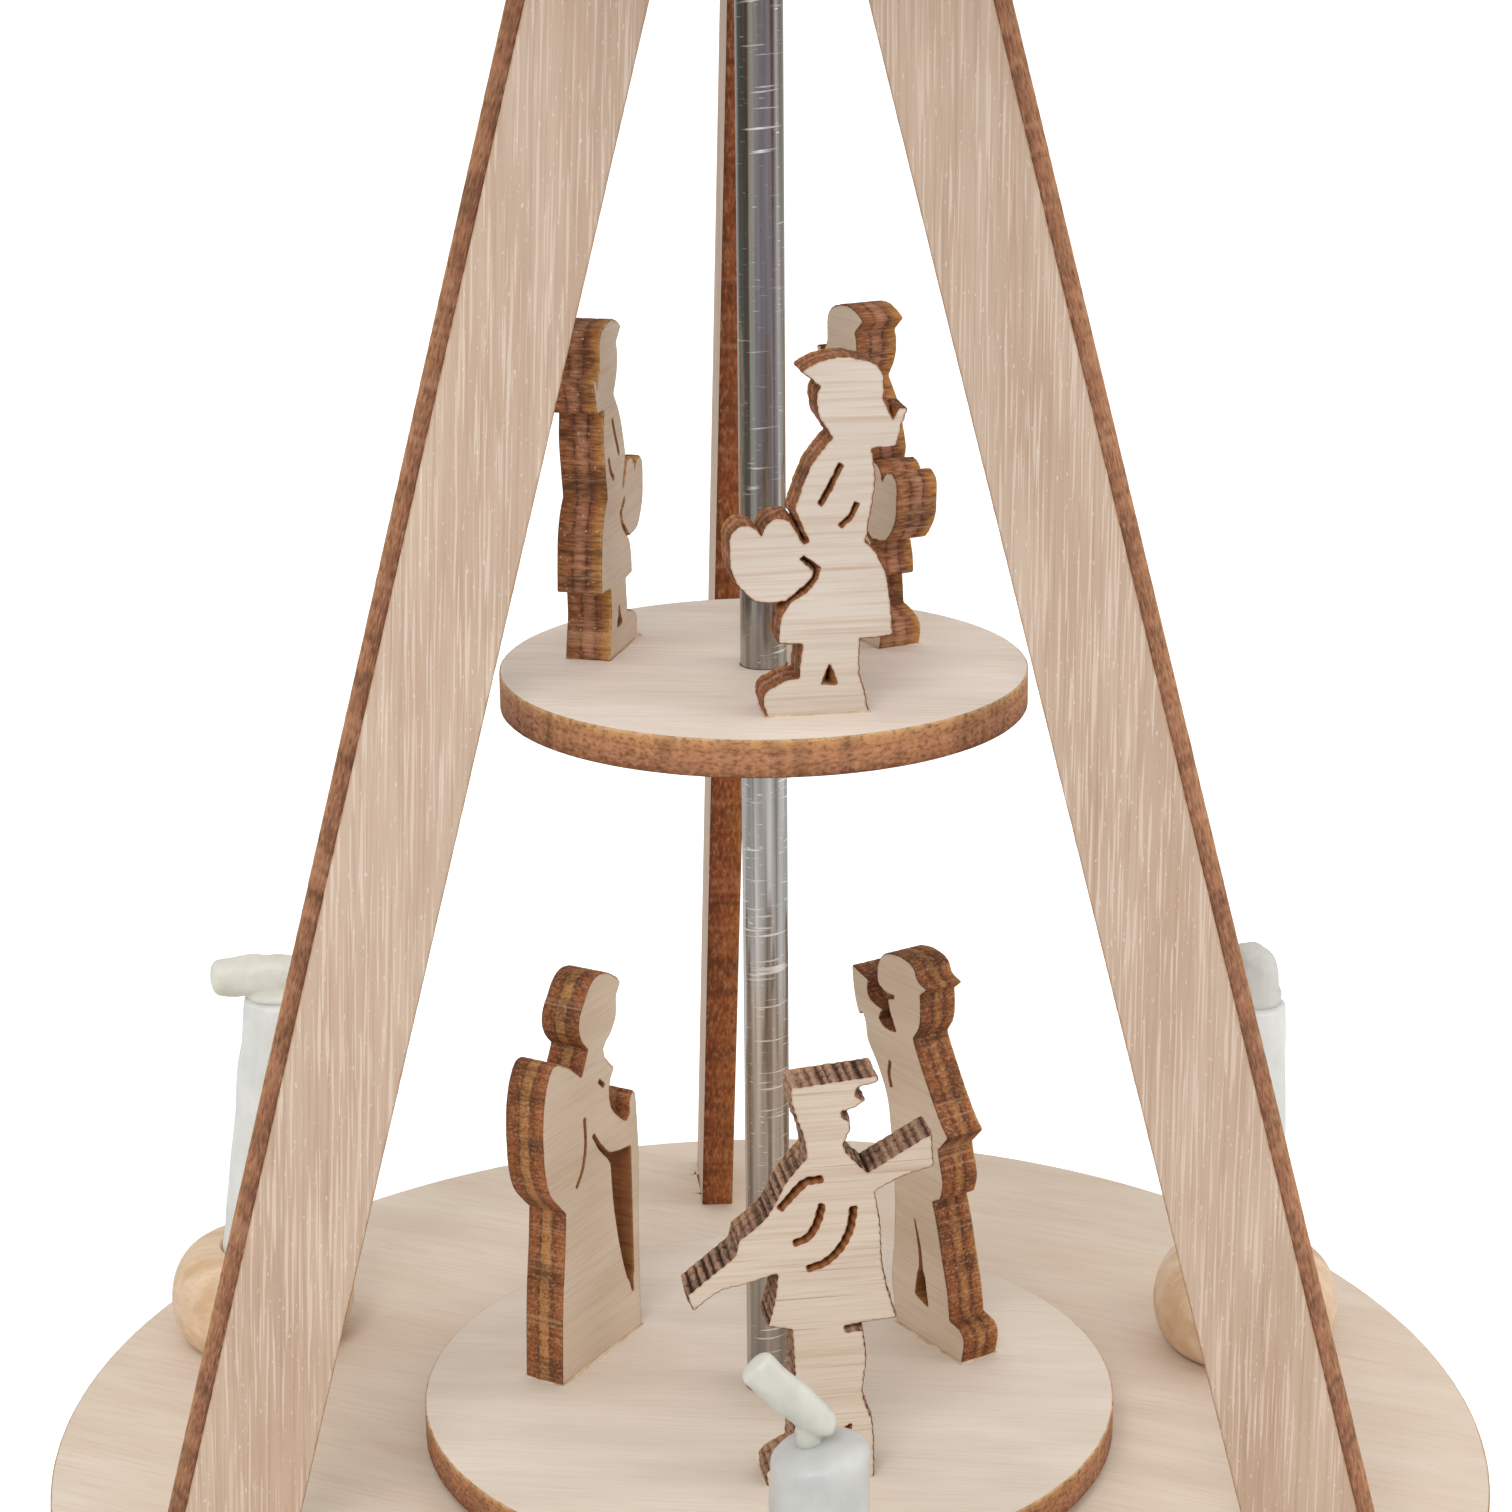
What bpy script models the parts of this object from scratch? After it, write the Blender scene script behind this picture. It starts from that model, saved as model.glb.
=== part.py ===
"""Candle carousel: a round base with three leaning legs, a head plate and a turning steel spindle.

The spindle carries two round platforms with flat cut figures and, on its upper end, a rotor of slanted
blades that turns in the warm air of three small candles.
Units are metres, +Z is up, and the origin is the middle of the base's underside.
One leg stands behind, near +Y, and the other two stand in front, to the left and to the right.
"""

import math

import bmesh
import bpy
from mathutils import Matrix, Vector

OBJECT_NAME = "candle_carousel"
CUTTER_COLLECTION_NAME = "candle_carousel_cutters"

# Clearances and the common overrun of every cut
SEAT_GAP = 0.0003
RUNNING_GAP = 0.0003
CUT_OVERRUN = 0.001
MERGE_DISTANCE = SEAT_GAP / 10

# Base plate
BASE_RADIUS = 0.0655
BASE_THICKNESS = 0.005

# Legs: planks that stand on edge along a radius and lean in; the rear one is set a little to the left
LEG_BEARINGS = {"leg_rear": 96.8, "leg_left": 210.0, "leg_right": 330.0}
LEG_THICKNESS = 0.0032
LEG_WIDTH = 0.0108
LEG_FOOT_INSET = 0.0056
LEG_HEAD_RADIUS = 0.0176
LEG_HEIGHT = 0.146
TENON_WIDTH = 0.006

# Head plate and its bush
HEAD_RADIUS = 0.0215
HEAD_THICKNESS = 0.0032
BUSH_WALL = 0.0012
BUSH_FLANGE_RADIUS = 0.0052
BUSH_FLANGE_THICKNESS = 0.0008

# Spindle and the cup that its point turns in
SPINDLE_RADIUS = 0.002
SPINDLE_POINT_LENGTH = 0.0024
SPINDLE_TIP_RADIUS = 0.0002
SPINDLE_END_CHAMFER = 0.0003
CUP_RADIUS = 0.004
CUP_HEIGHT = 0.0034
DIMPLE_RADIUS = 0.003
DIMPLE_FLOOR_RADIUS = 0.0005
DIMPLE_DEPTH = 0.0024

# Platforms on the spindle
PLATFORM_THICKNESS = 0.0032
LOWER_PLATFORM_RADIUS = 0.0317
LOWER_PLATFORM_CLEARANCE = 0.0011
UPPER_PLATFORM_RADIUS = 0.0228
PLATFORM_SPACING = 0.0691

# Turned candle holders and the candles in them; a candle's height is over the base
HOLDER_BELLY_RADIUS = 0.00885
HOLDER_BELLY_HEIGHT = 0.0045
HOLDER_FOOT_RADIUS = 0.0062
HOLDER_RIM_WALL = 0.0012
HOLDER_HEIGHT = 0.0098
HOLDER_PEG_RADIUS = 0.0024
HOLDER_PEG_LENGTH = 0.003
SOCKET_DEPTH = 0.0065
CANDLE_RADIUS = 0.0037
CANDLE_HEIGHT = 0.0357
CANDLE_DOME_LENGTH = 0.0022
WICK_NECK_RADIUS = 0.0011
WICK_RADIUS = 0.0017

# Each candle: bearing and distance of its holder, its height, and the lean of its top towards +X
CANDLES = {
    "front": {"bearing": 273.7, "distance_share": 0.817, "height_share": 0.79, "lean_share": 0.11},
    "right": {"bearing": 19.1, "distance_share": 0.748, "height_share": 1.0, "lean_share": -0.27},
    "left": {"bearing": 158.8, "distance_share": 0.811, "height_share": 1.0, "lean_share": 0.95},
}
CANDLE_BODY_SHARES = (0.0, 0.3, 0.65, 1.0)
CANDLE_TAPER_SHARE = 0.99
CANDLE_DOME_SHARES = ((0.4, 0.96), (0.75, 0.84), (1.0, 0.56))

# Each wick: how far its end reaches sideways and up from the candle's top, and its course on the way
WICK_LENGTH = 0.0064
WICK_REACH_SHARES = {"front": (-0.88, 0.96), "right": (0.17, 0.84), "left": (-0.88, 0.3)}
WICK_COURSE_SHARES = {
    "front": ((0.0, 0.0), (0.0, 0.12), (0.16, 0.3), (0.58, 0.66), (1.0, 1.0)),
    "right": ((0.0, 0.0), (0.35, 0.2), (0.9, 0.5), (1.0, 0.8), (0.8, 1.0)),
    "left": ((0.0, 0.0), (0.0, 0.35), (0.2, 0.85), (0.6, 1.0), (1.0, 0.96)),
}
WICK_END_SHARE = 0.6

# Rotor: a turned hub and eight slanted blades
HUB_RADIUS = 0.0115
HUB_HEIGHT = 0.012
HUB_ROUNDING = 0.0025
HUB_RISE = 0.0055
HUB_BORE_DEPTH = 0.008
BLADE_COUNT = 8
BLADE_PITCH = 34.0
BLADE_THICKNESS = 0.0012
BLADE_SEAT_DEPTH = 0.0035
BLADE_ROOT_WIDTH = 0.0062
BLADE_TIP_WIDTH = 0.0245
BLADE_TIP_RADIUS = 0.071
BLADE_SHOULDER_SHARE = 0.16
BLADE_SHOULDER_WIDTH_SHARE = 0.32
BLADE_CORNER_SHARE = 0.33
BLADE_FIRST_SHARE = 0.5

# Figures: flat pieces cut from one strip of plywood for each platform
FIGURE_THICKNESS = 0.004
UPPER_FIGURE_HEIGHT = 0.0291
LOWER_FIGURE_HEIGHT = 0.0376
SAW_SLOT_WIDTH = 0.0006

# Each figure: platform, outline, bearing and distance of its foot, and turn of its plane from the radius
FIGURES = {
    "basket_maid_front": {"on": "upper", "cut": "maid",
                          "bearing": -74.0, "distance_share": 0.627, "turn": 83.3},
    "basket_maid_left": {"on": "upper", "cut": "maid",
                         "bearing": 158.2, "distance_share": 0.671, "turn": 97.7},
    "basket_maid_right": {"on": "upper", "cut": "maid",
                          "bearing": 41.6, "distance_share": 0.592, "turn": 75.8},
    "pedlar_with_cane": {"on": "lower", "cut": "pedlar",
                         "bearing": 158.4, "distance_share": 0.59, "turn": -97.6},
    "dancer": {"on": "lower", "cut": "dancer",
               "bearing": -72.8, "distance_share": 0.53, "turn": 82.2},
    "load_bearer": {"on": "lower", "cut": "bearer",
                    "bearing": 28.2, "distance_share": 0.6025, "turn": 95.2},
}

# Outline points are shares of the figure's height, from the foot's left end; True marks a round point
MAID_OUTLINE_SHARES = (
    (0.010, 0.0, False), (0.000, 0.041, True), (0.017, 0.071, True), (0.102, 0.099, False),
    (0.112, 0.200, False), (0.044, 0.204, False), (0.054, 0.279, True), (0.078, 0.316, False),
    (0.128, 0.350, True), (0.155, 0.385, True), (0.165, 0.415, False), (0.112, 0.456, False),
    (0.103, 0.440, False), (0.140, 0.405, False), (0.132, 0.385, True), (0.108, 0.362, True),
    (0.062, 0.327, False), (0.017, 0.323, True), (-0.027, 0.333, True), (-0.061, 0.367, True),
    (-0.085, 0.408, True), (-0.090, 0.460, True), (-0.086, 0.520, True), (-0.061, 0.541, False),
    (-0.031, 0.537, True), (-0.003, 0.507, False), (0.015, 0.545, True), (0.050, 0.557, True),
    (0.076, 0.546, False), (0.114, 0.480, False), (0.132, 0.489, False), (0.092, 0.585, False),
    (0.113, 0.646, True), (0.143, 0.711, True), (0.200, 0.780, False), (0.170, 0.823, True),
    (0.156, 0.860, True), (0.156, 0.905, True), (0.165, 0.925, False), (0.112, 0.966, False),
    (0.153, 0.987, True), (0.210, 1.0, True), (0.270, 0.993, True), (0.320, 0.973, True),
    (0.336, 0.945, True), (0.337, 0.883, True), (0.346, 0.857, True), (0.366, 0.820, False),
    (0.383, 0.855, False), (0.404, 0.853, False), (0.388, 0.812, True), (0.372, 0.752, False),
    (0.302, 0.748, False), (0.313, 0.663, True), (0.304, 0.590, True), (0.286, 0.484, False),
    (0.313, 0.452, True), (0.342, 0.395, True), (0.357, 0.306, True), (0.364, 0.212, False),
    (0.272, 0.207, False), (0.269, 0.110, True), (0.279, 0.070, True), (0.296, 0.0, False),
)
MAID_SLOT_SHARES = (
    ((0.158, 0.590), (0.192, 0.650), (0.222, 0.708)),
    ((0.215, 0.528), (0.246, 0.556), (0.266, 0.598)),
)
MAID_HOLE_SHARES = (((0.158, 0.075), (0.188, 0.145), (0.215, 0.073)),)

PEDLAR_OUTLINE_SHARES = (
    (0.0, 0.0, False), (0.374, 0.0, False), (0.374, 0.300, False), (0.371, 0.610, True),
    (0.353, 0.647, True), (0.338, 0.590, False), (0.321, 0.574, False), (0.276, 0.611, True),
    (0.253, 0.640, True), (0.247, 0.689, True), (0.253, 0.712, False), (0.271, 0.737, False),
    (0.245, 0.763, True), (0.224, 0.803, True), (0.255, 0.829, True), (0.284, 0.868, True),
    (0.287, 0.916, False), (0.308, 0.950, False), (0.287, 0.971, True), (0.190, 1.0, True),
    (0.140, 0.953, True), (0.115, 0.914, True), (0.118, 0.868, True), (0.152, 0.826, False),
    (0.120, 0.765, False), (0.085, 0.795, True), (0.040, 0.825, True), (0.0, 0.837, True),
    (-0.026, 0.812, True), (-0.046, 0.763, True), (-0.056, 0.697, True), (-0.056, 0.632, True),
    (-0.050, 0.566, True), (-0.032, 0.513, True), (0.0, 0.474, True), (0.034, 0.439, False),
    (0.026, 0.342, True), (0.013, 0.237, True), (0.003, 0.079, True),
)
PEDLAR_SLOT_SHARES = (
    ((0.130, 0.655), (0.130, 0.575), (0.112, 0.520), (0.086, 0.487)),
    ((0.198, 0.728), (0.222, 0.706)),
)
PEDLAR_HOLE_SHARES = (
    ((0.245, 0.490), (0.190, 0.545), (0.160, 0.592), (0.174, 0.600), (0.206, 0.560), (0.252, 0.520),
     (0.340, 0.500), (0.343, 0.105), (0.331, 0.103), (0.295, 0.200), (0.274, 0.280), (0.255, 0.380)),
)

DANCER_OUTLINE_SHARES = (
    (-0.147, 0.0, False), (-0.150, 0.026, True), (-0.121, 0.052, True), (-0.089, 0.068, False),
    (-0.084, 0.158, True), (-0.084, 0.311, True), (-0.089, 0.389, False), (-0.145, 0.400, False),
    (-0.129, 0.461, True), (-0.121, 0.532, False), (-0.197, 0.511, True), (-0.250, 0.500, True),
    (-0.316, 0.455, False), (-0.329, 0.495, False), (-0.218, 0.584, False), (-0.210, 0.621, False),
    (-0.145, 0.676, True), (-0.103, 0.753, True), (-0.053, 0.813, False), (-0.061, 0.863, True),
    (-0.076, 0.908, True), (-0.087, 0.947, False), (-0.089, 0.984, False), (0.108, 1.0, False),
    (0.111, 0.987, True), (0.087, 0.979, True), (0.063, 0.974, False), (0.058, 0.953, False),
    (0.082, 0.942, False), (0.053, 0.924, True), (0.026, 0.918, False), (0.026, 0.905, False),
    (0.045, 0.892, True), (0.039, 0.855, True), (0.032, 0.837, True), (0.045, 0.811, True),
    (0.087, 0.766, False), (0.234, 0.850, False), (0.239, 0.768, False), (0.163, 0.747, True),
    (0.103, 0.716, False), (0.116, 0.632, True), (0.121, 0.539, True), (0.137, 0.461, True),
    (0.155, 0.397, False), (0.076, 0.392, False), (0.034, 0.387, False), (0.034, 0.371, False),
    (0.076, 0.374, False), (0.084, 0.289, True), (0.076, 0.224, True), (0.082, 0.189, True),
    (0.097, 0.145, True), (0.103, 0.079, True), (0.103, 0.0, False),
)
DANCER_SLOT_SHARES = (
    ((-0.016, 0.758), (-0.055, 0.754), (-0.092, 0.718), (-0.116, 0.690)),
    ((-0.018, 0.695), (-0.029, 0.653), (-0.052, 0.616), (-0.084, 0.603)),
    ((0.055, 0.684), (0.045, 0.626), (0.016, 0.574), (-0.013, 0.550), (-0.053, 0.537)),
)
DANCER_HOLE_SHARES = (((0.032, 0.128), (0.050, 0.136), (0.050, 0.118)),)

BEARER_OUTLINE_SHARES = (
    (-0.008, 0.0, False), (-0.018, 0.050, True), (-0.008, 0.074, True), (0.042, 0.088, False),
    (0.052, 0.158, True), (0.074, 0.237, True), (0.095, 0.316, True), (0.118, 0.382, False),
    (0.087, 0.400, False), (0.076, 0.440, True), (0.090, 0.500, True), (0.097, 0.530, False),
    (0.055, 0.575, False), (0.084, 0.603, True), (0.137, 0.677, True), (0.163, 0.717, True),
    (0.194, 0.769, False), (0.204, 0.790, False), (0.180, 0.827, True), (0.174, 0.870, True),
    (0.177, 0.912, False), (0.147, 0.936, False), (0.188, 0.950, True), (0.202, 0.974, True),
    (0.240, 0.987, True), (0.295, 0.985, True), (0.340, 0.965, True), (0.358, 0.912, True),
    (0.350, 0.885, True), (0.318, 0.878, False), (0.287, 0.878, False), (0.287, 0.868, False),
    (0.312, 0.858, False), (0.305, 0.832, True), (0.274, 0.785, False), (0.308, 0.781, False),
    (0.349, 0.797, True), (0.330, 0.826, False), (0.372, 0.832, True), (0.398, 0.847, True),
    (0.396, 0.885, False), (0.469, 0.904, False), (0.462, 0.850, True), (0.450, 0.806, True),
    (0.437, 0.780, False), (0.420, 0.789, False), (0.409, 0.765, True), (0.399, 0.723, True),
    (0.372, 0.690, True), (0.318, 0.605, True), (0.300, 0.526, True), (0.282, 0.390, True),
    (0.282, 0.210, True), (0.290, 0.105, True), (0.268, 0.0, False),
)
BEARER_SLOT_SHARES = (((0.302, 0.698), (0.306, 0.662), (0.296, 0.630)),)
BEARER_HOLE_SHARES = (
    ((0.133, 0.088), (0.188, 0.104), (0.176, 0.205), (0.196, 0.318), (0.168, 0.250), (0.152, 0.178)),
)

FIGURE_CUTS = {
    "maid": (MAID_OUTLINE_SHARES, MAID_SLOT_SHARES, MAID_HOLE_SHARES),
    "pedlar": (PEDLAR_OUTLINE_SHARES, PEDLAR_SLOT_SHARES, PEDLAR_HOLE_SHARES),
    "dancer": (DANCER_OUTLINE_SHARES, DANCER_SLOT_SHARES, DANCER_HOLE_SHARES),
    "bearer": (BEARER_OUTLINE_SHARES, BEARER_SLOT_SHARES, BEARER_HOLE_SHARES),
}
FIGURE_FOOT_SHARES = {"maid": 0.148, "pedlar": 0.187, "dancer": 0.0, "bearer": 0.130}

# Facets of the round pieces
PLATE_SIDES = 96
TURNED_SIDES = 24
PROFILE_STEPS = 4
CURVE_STEPS = 2
CANDLE_BEVEL_RESOLUTION = 6
WICK_BEVEL_RESOLUTION = 3
WICK_STEPS = 3
SHARP_ANGLE = math.radians(35.0)

# Heights and places that follow from the sizes above
BASE_TOP = BASE_THICKNESS
HEAD_BOTTOM = BASE_TOP + LEG_HEIGHT
HEAD_TOP = HEAD_BOTTOM + HEAD_THICKNESS
CUP_TOP = BASE_TOP
SPINDLE_BOTTOM = CUP_TOP - DIMPLE_DEPTH + SEAT_GAP
LOWER_PLATFORM_BOTTOM = BASE_TOP + LOWER_PLATFORM_CLEARANCE
LOWER_PLATFORM_TOP = LOWER_PLATFORM_BOTTOM + PLATFORM_THICKNESS
UPPER_PLATFORM_BOTTOM = LOWER_PLATFORM_BOTTOM + PLATFORM_SPACING
UPPER_PLATFORM_TOP = UPPER_PLATFORM_BOTTOM + PLATFORM_THICKNESS
HUB_BOTTOM = HEAD_TOP + HUB_RISE
SPINDLE_TOP = HUB_BOTTOM + HUB_BORE_DEPTH - SEAT_GAP

# Leg shape across its slope
LEG_FOOT_RADIUS = BASE_RADIUS - LEG_FOOT_INSET
LEG_LEAN = (LEG_FOOT_RADIUS - LEG_HEAD_RADIUS) / LEG_HEIGHT
LEG_LEVEL_WIDTH = LEG_WIDTH * math.hypot(1.0, LEG_LEAN)
FOOT_TENON_MIDDLE = LEG_FOOT_RADIUS - LEG_LEVEL_WIDTH / 2
HEAD_TENON_MIDDLE = LEG_HEAD_RADIUS - LEG_LEVEL_WIDTH / 2

CANDLE_PLACES = {side: (BASE_RADIUS * candle["distance_share"], candle["bearing"])
                 for side, candle in CANDLES.items()}

BUSH_BORE_RADIUS = SPINDLE_RADIUS + RUNNING_GAP
BUSH_RADIUS = BUSH_BORE_RADIUS + BUSH_WALL
SOCKET_RADIUS = CANDLE_RADIUS + SEAT_GAP

# Colour, roughness and metallic value of each material
MATERIALS = {
    "birch_plywood": ((0.66, 0.53, 0.40), 0.6, 0.0),
    "turned_beech": ((0.74, 0.50, 0.28), 0.5, 0.0),
    "bright_steel": ((0.42, 0.41, 0.39), 0.3, 1.0),
    "brass": ((0.72, 0.51, 0.22), 0.35, 1.0),
    "white_wax": ((0.78, 0.79, 0.76), 0.45, 0.0),
}


def clear_scene():
    """Remove the objects, meshes and curves that are in the file."""
    for thing in list(bpy.data.objects):
        bpy.data.objects.remove(thing, do_unlink=True)
    for blocks in (bpy.data.meshes, bpy.data.curves):
        for block in list(blocks):
            blocks.remove(block)


def new_collection(name):
    """Make a collection under the scene."""
    group = bpy.data.collections.new(name)
    bpy.context.scene.collection.children.link(group)
    return group


def plain_material(name, kind):
    """Make a piece's own material of one of the kinds above."""
    colour, roughness, metallic = MATERIALS[kind]
    finish = bpy.data.materials.new(f"{name}_{kind}")
    finish.use_nodes = True
    shader = finish.node_tree.nodes["Principled BSDF"]
    shader.inputs["Base Color"].default_value = (*colour, 1.0)
    shader.inputs["Roughness"].default_value = roughness
    shader.inputs["Metallic"].default_value = metallic
    finish.diffuse_color = (*colour, 1.0)
    return finish


def add_piece(name, data, kind, group, parent=None):
    """Make an object of the data, with its own material, in the collection and under the parent."""
    piece = bpy.data.objects.new(name, data)
    data.name = name
    data.materials.append(plain_material(name, kind))
    group.objects.link(piece)
    if parent is not None:
        piece.parent = parent
    return piece


def add_pivot(name, place, group, parent=None):
    """Put an empty on a joint's axis, at a place in the world, to carry the pieces that move together."""
    pivot = bpy.data.objects.new(name, None)
    pivot.location = place
    if parent is not None:
        pivot.parent = parent
        pivot.location = Vector(place) - parent.location
    group.objects.link(pivot)
    return pivot


def mesh_of(build):
    """Fill a new mesh with a bmesh builder function."""
    mesh = bpy.data.meshes.new("shape")
    shape = bmesh.new()
    build(shape)
    shape.to_mesh(mesh)
    shape.free()
    return mesh


def disc_mesh(radius, bottom, top, sides):
    """A round plate or rod about +Z between two heights."""
    def build(shape):
        middle = Matrix.Translation((0, 0, (bottom + top) / 2))
        bmesh.ops.create_cone(shape, cap_ends=True, segments=sides, radius1=radius, radius2=radius,
                              depth=top - bottom, matrix=middle)
    return mesh_of(build)


def block_mesh(size):
    """A box about its own middle."""
    def build(shape):
        bmesh.ops.create_cube(shape, size=1.0, matrix=Matrix.Diagonal((*size, 1.0)))
    return mesh_of(build)


def shade_round(mesh):
    """Shade a round piece smooth, with its rims sharp."""
    mesh.shade_smooth()
    mesh.set_sharp_from_angle(angle=SHARP_ANGLE)


def turned_piece(name, profile, kind, group, parent=None, closed=False):
    """Turn a profile of (radius, height) points about +Z; it runs down the outer side, top to bottom."""
    mesh = bpy.data.meshes.new(name)
    points = [(radius, 0.0, height) for radius, height in profile]
    links = [(at, at + 1) for at in range(len(points) - 1)]
    if closed:
        links.append((len(points) - 1, 0))
    mesh.from_pydata(points, links, [])
    piece = add_piece(name, mesh, kind, group, parent)
    screw = piece.modifiers.new("turn", "SCREW")
    screw.axis = "Z"
    screw.angle = math.tau
    screw.steps = TURNED_SIDES
    screw.render_steps = TURNED_SIDES
    screw.use_merge_vertices = True
    screw.merge_threshold = MERGE_DISTANCE
    screw.use_smooth_shade = True
    return piece


def arc_points(belly_radius, end_radius, belly_height, end_height):
    """Points of a quarter ellipse from a belly, where it runs upright, to an end, where it lies flat."""
    points = []
    for step in range(PROFILE_STEPS + 1):
        angle = math.pi / 2 * step / PROFILE_STEPS
        points.append((belly_radius + (end_radius - belly_radius) * (1 - math.cos(angle)),
                       belly_height + (end_height - belly_height) * math.sin(angle)))
    return points


def add_cutter(name, mesh, place, group, turn=0.0, tilt=0.0):
    """Place a cutter, tilted about its X axis and then turned about +Z, and keep it out of the model."""
    cutter = bpy.data.objects.new(name, mesh)
    cutter.location = place
    cutter.rotation_euler = (tilt, 0.0, turn)
    cutter.hide_render = True
    cutter.display_type = "WIRE"
    group.objects.link(cutter)
    return cutter


def cut(piece, cutter):
    """Cut a piece with a cutter."""
    step = piece.modifiers.new(f"cut_{cutter.name}", "BOOLEAN")
    step.operation = "DIFFERENCE"
    step.solver = "EXACT"
    step.object = cutter


def polar(radius, bearing, height):
    """A place at a distance from the axis, a bearing in degrees from +X, and a height."""
    angle = math.radians(bearing)
    return Vector((radius * math.cos(angle), radius * math.sin(angle), height))


def add_outline(curve, points):
    """Add a closed outline of (x, y, is_round) points to a flat curve."""
    spline = curve.splines.new("BEZIER")
    spline.use_cyclic_u = True
    spline.resolution_u = CURVE_STEPS
    spline.bezier_points.add(len(points) - 1)
    for knot, (x, y, is_round) in zip(spline.bezier_points, points):
        knot.co = (x, y, 0)
        knot.handle_left_type = knot.handle_right_type = "AUTO" if is_round else "VECTOR"


def flat_curve(thickness):
    """A flat curve that is filled and extruded to a thickness about its own plane."""
    curve = bpy.data.curves.new("flat", "CURVE")
    curve.dimensions = "2D"
    curve.fill_mode = "BOTH"
    curve.extrude = thickness / 2
    curve.resolution_u = CURVE_STEPS
    return curve


def slot_outline(course, width):
    """The outline of a narrow slot of a width along a course of points."""
    left, right = [], []
    for at, point in enumerate(course):
        ahead = course[min(at + 1, len(course) - 1)] - course[max(at - 1, 0)]
        across = Vector((-ahead.y, ahead.x)).normalized() * width / 2
        left.append(point + across)
        right.append(point - across)
    return left + right[::-1]


def make_base(group, cutters):
    """The round base plate with its three mortises, the recess of the cup and the holders' peg holes."""
    disc = disc_mesh(BASE_RADIUS, 0.0, BASE_THICKNESS, PLATE_SIDES)
    base = add_piece("base_plate", disc, "birch_plywood", group)
    recess_floor = CUP_TOP - CUP_HEIGHT - SEAT_GAP
    recess = disc_mesh(CUP_RADIUS + SEAT_GAP, recess_floor, BASE_TOP + CUT_OVERRUN, TURNED_SIDES)
    cut(base, add_cutter("cup_recess_cutter", recess, (0, 0, 0), cutters))
    for name, bearing in LEG_BEARINGS.items():
        size = (TENON_WIDTH + 2 * SEAT_GAP, LEG_THICKNESS + 2 * SEAT_GAP, BASE_THICKNESS + 2 * CUT_OVERRUN)
        place = polar(FOOT_TENON_MIDDLE, bearing, BASE_THICKNESS / 2)
        turn = math.radians(bearing)
        cut(base, add_cutter(f"{name}_foot_cutter", block_mesh(size), place, cutters, turn))
    for side, place in CANDLE_PLACES.items():
        floor = -HOLDER_PEG_LENGTH - SEAT_GAP
        hole = disc_mesh(HOLDER_PEG_RADIUS + SEAT_GAP, floor, CUT_OVERRUN, TURNED_SIDES)
        cut(base, add_cutter(f"holder_{side}_cutter", hole, polar(*place, BASE_TOP), cutters))


def make_cup(group):
    """The cup in the base's middle that the spindle's point turns in."""
    top, bottom = CUP_TOP, CUP_TOP - CUP_HEIGHT
    profile = [(0, top - DIMPLE_DEPTH), (DIMPLE_FLOOR_RADIUS, top - DIMPLE_DEPTH), (DIMPLE_RADIUS, top),
               (CUP_RADIUS, top), (CUP_RADIUS, bottom), (0, bottom)]
    turned_piece("bearing_cup", profile, "brass", group)


def make_legs(group):
    """The three leaning legs, with a tenon at each end."""
    shoulder_low = BASE_TOP + SEAT_GAP
    shoulder_high = HEAD_BOTTOM - SEAT_GAP
    foot_outer, head_outer = LEG_FOOT_RADIUS, LEG_HEAD_RADIUS
    foot_inner, head_inner = foot_outer - LEG_LEVEL_WIDTH, head_outer - LEG_LEVEL_WIDTH
    half = TENON_WIDTH / 2
    outline = [(foot_outer, shoulder_low), (head_outer, shoulder_high),
               (HEAD_TENON_MIDDLE + half, shoulder_high), (HEAD_TENON_MIDDLE + half, HEAD_TOP),
               (HEAD_TENON_MIDDLE - half, HEAD_TOP), (HEAD_TENON_MIDDLE - half, shoulder_high),
               (head_inner, shoulder_high), (foot_inner, shoulder_low),
               (FOOT_TENON_MIDDLE - half, shoulder_low), (FOOT_TENON_MIDDLE - half, SEAT_GAP),
               (FOOT_TENON_MIDDLE + half, SEAT_GAP), (FOOT_TENON_MIDDLE + half, shoulder_low)]
    for name, bearing in LEG_BEARINGS.items():
        curve = flat_curve(LEG_THICKNESS)
        add_outline(curve, [(x, y, False) for x, y in outline])
        leg = add_piece(name, curve, "birch_plywood", group)
        leg.rotation_euler = (math.pi / 2, 0, math.radians(bearing))


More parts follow.
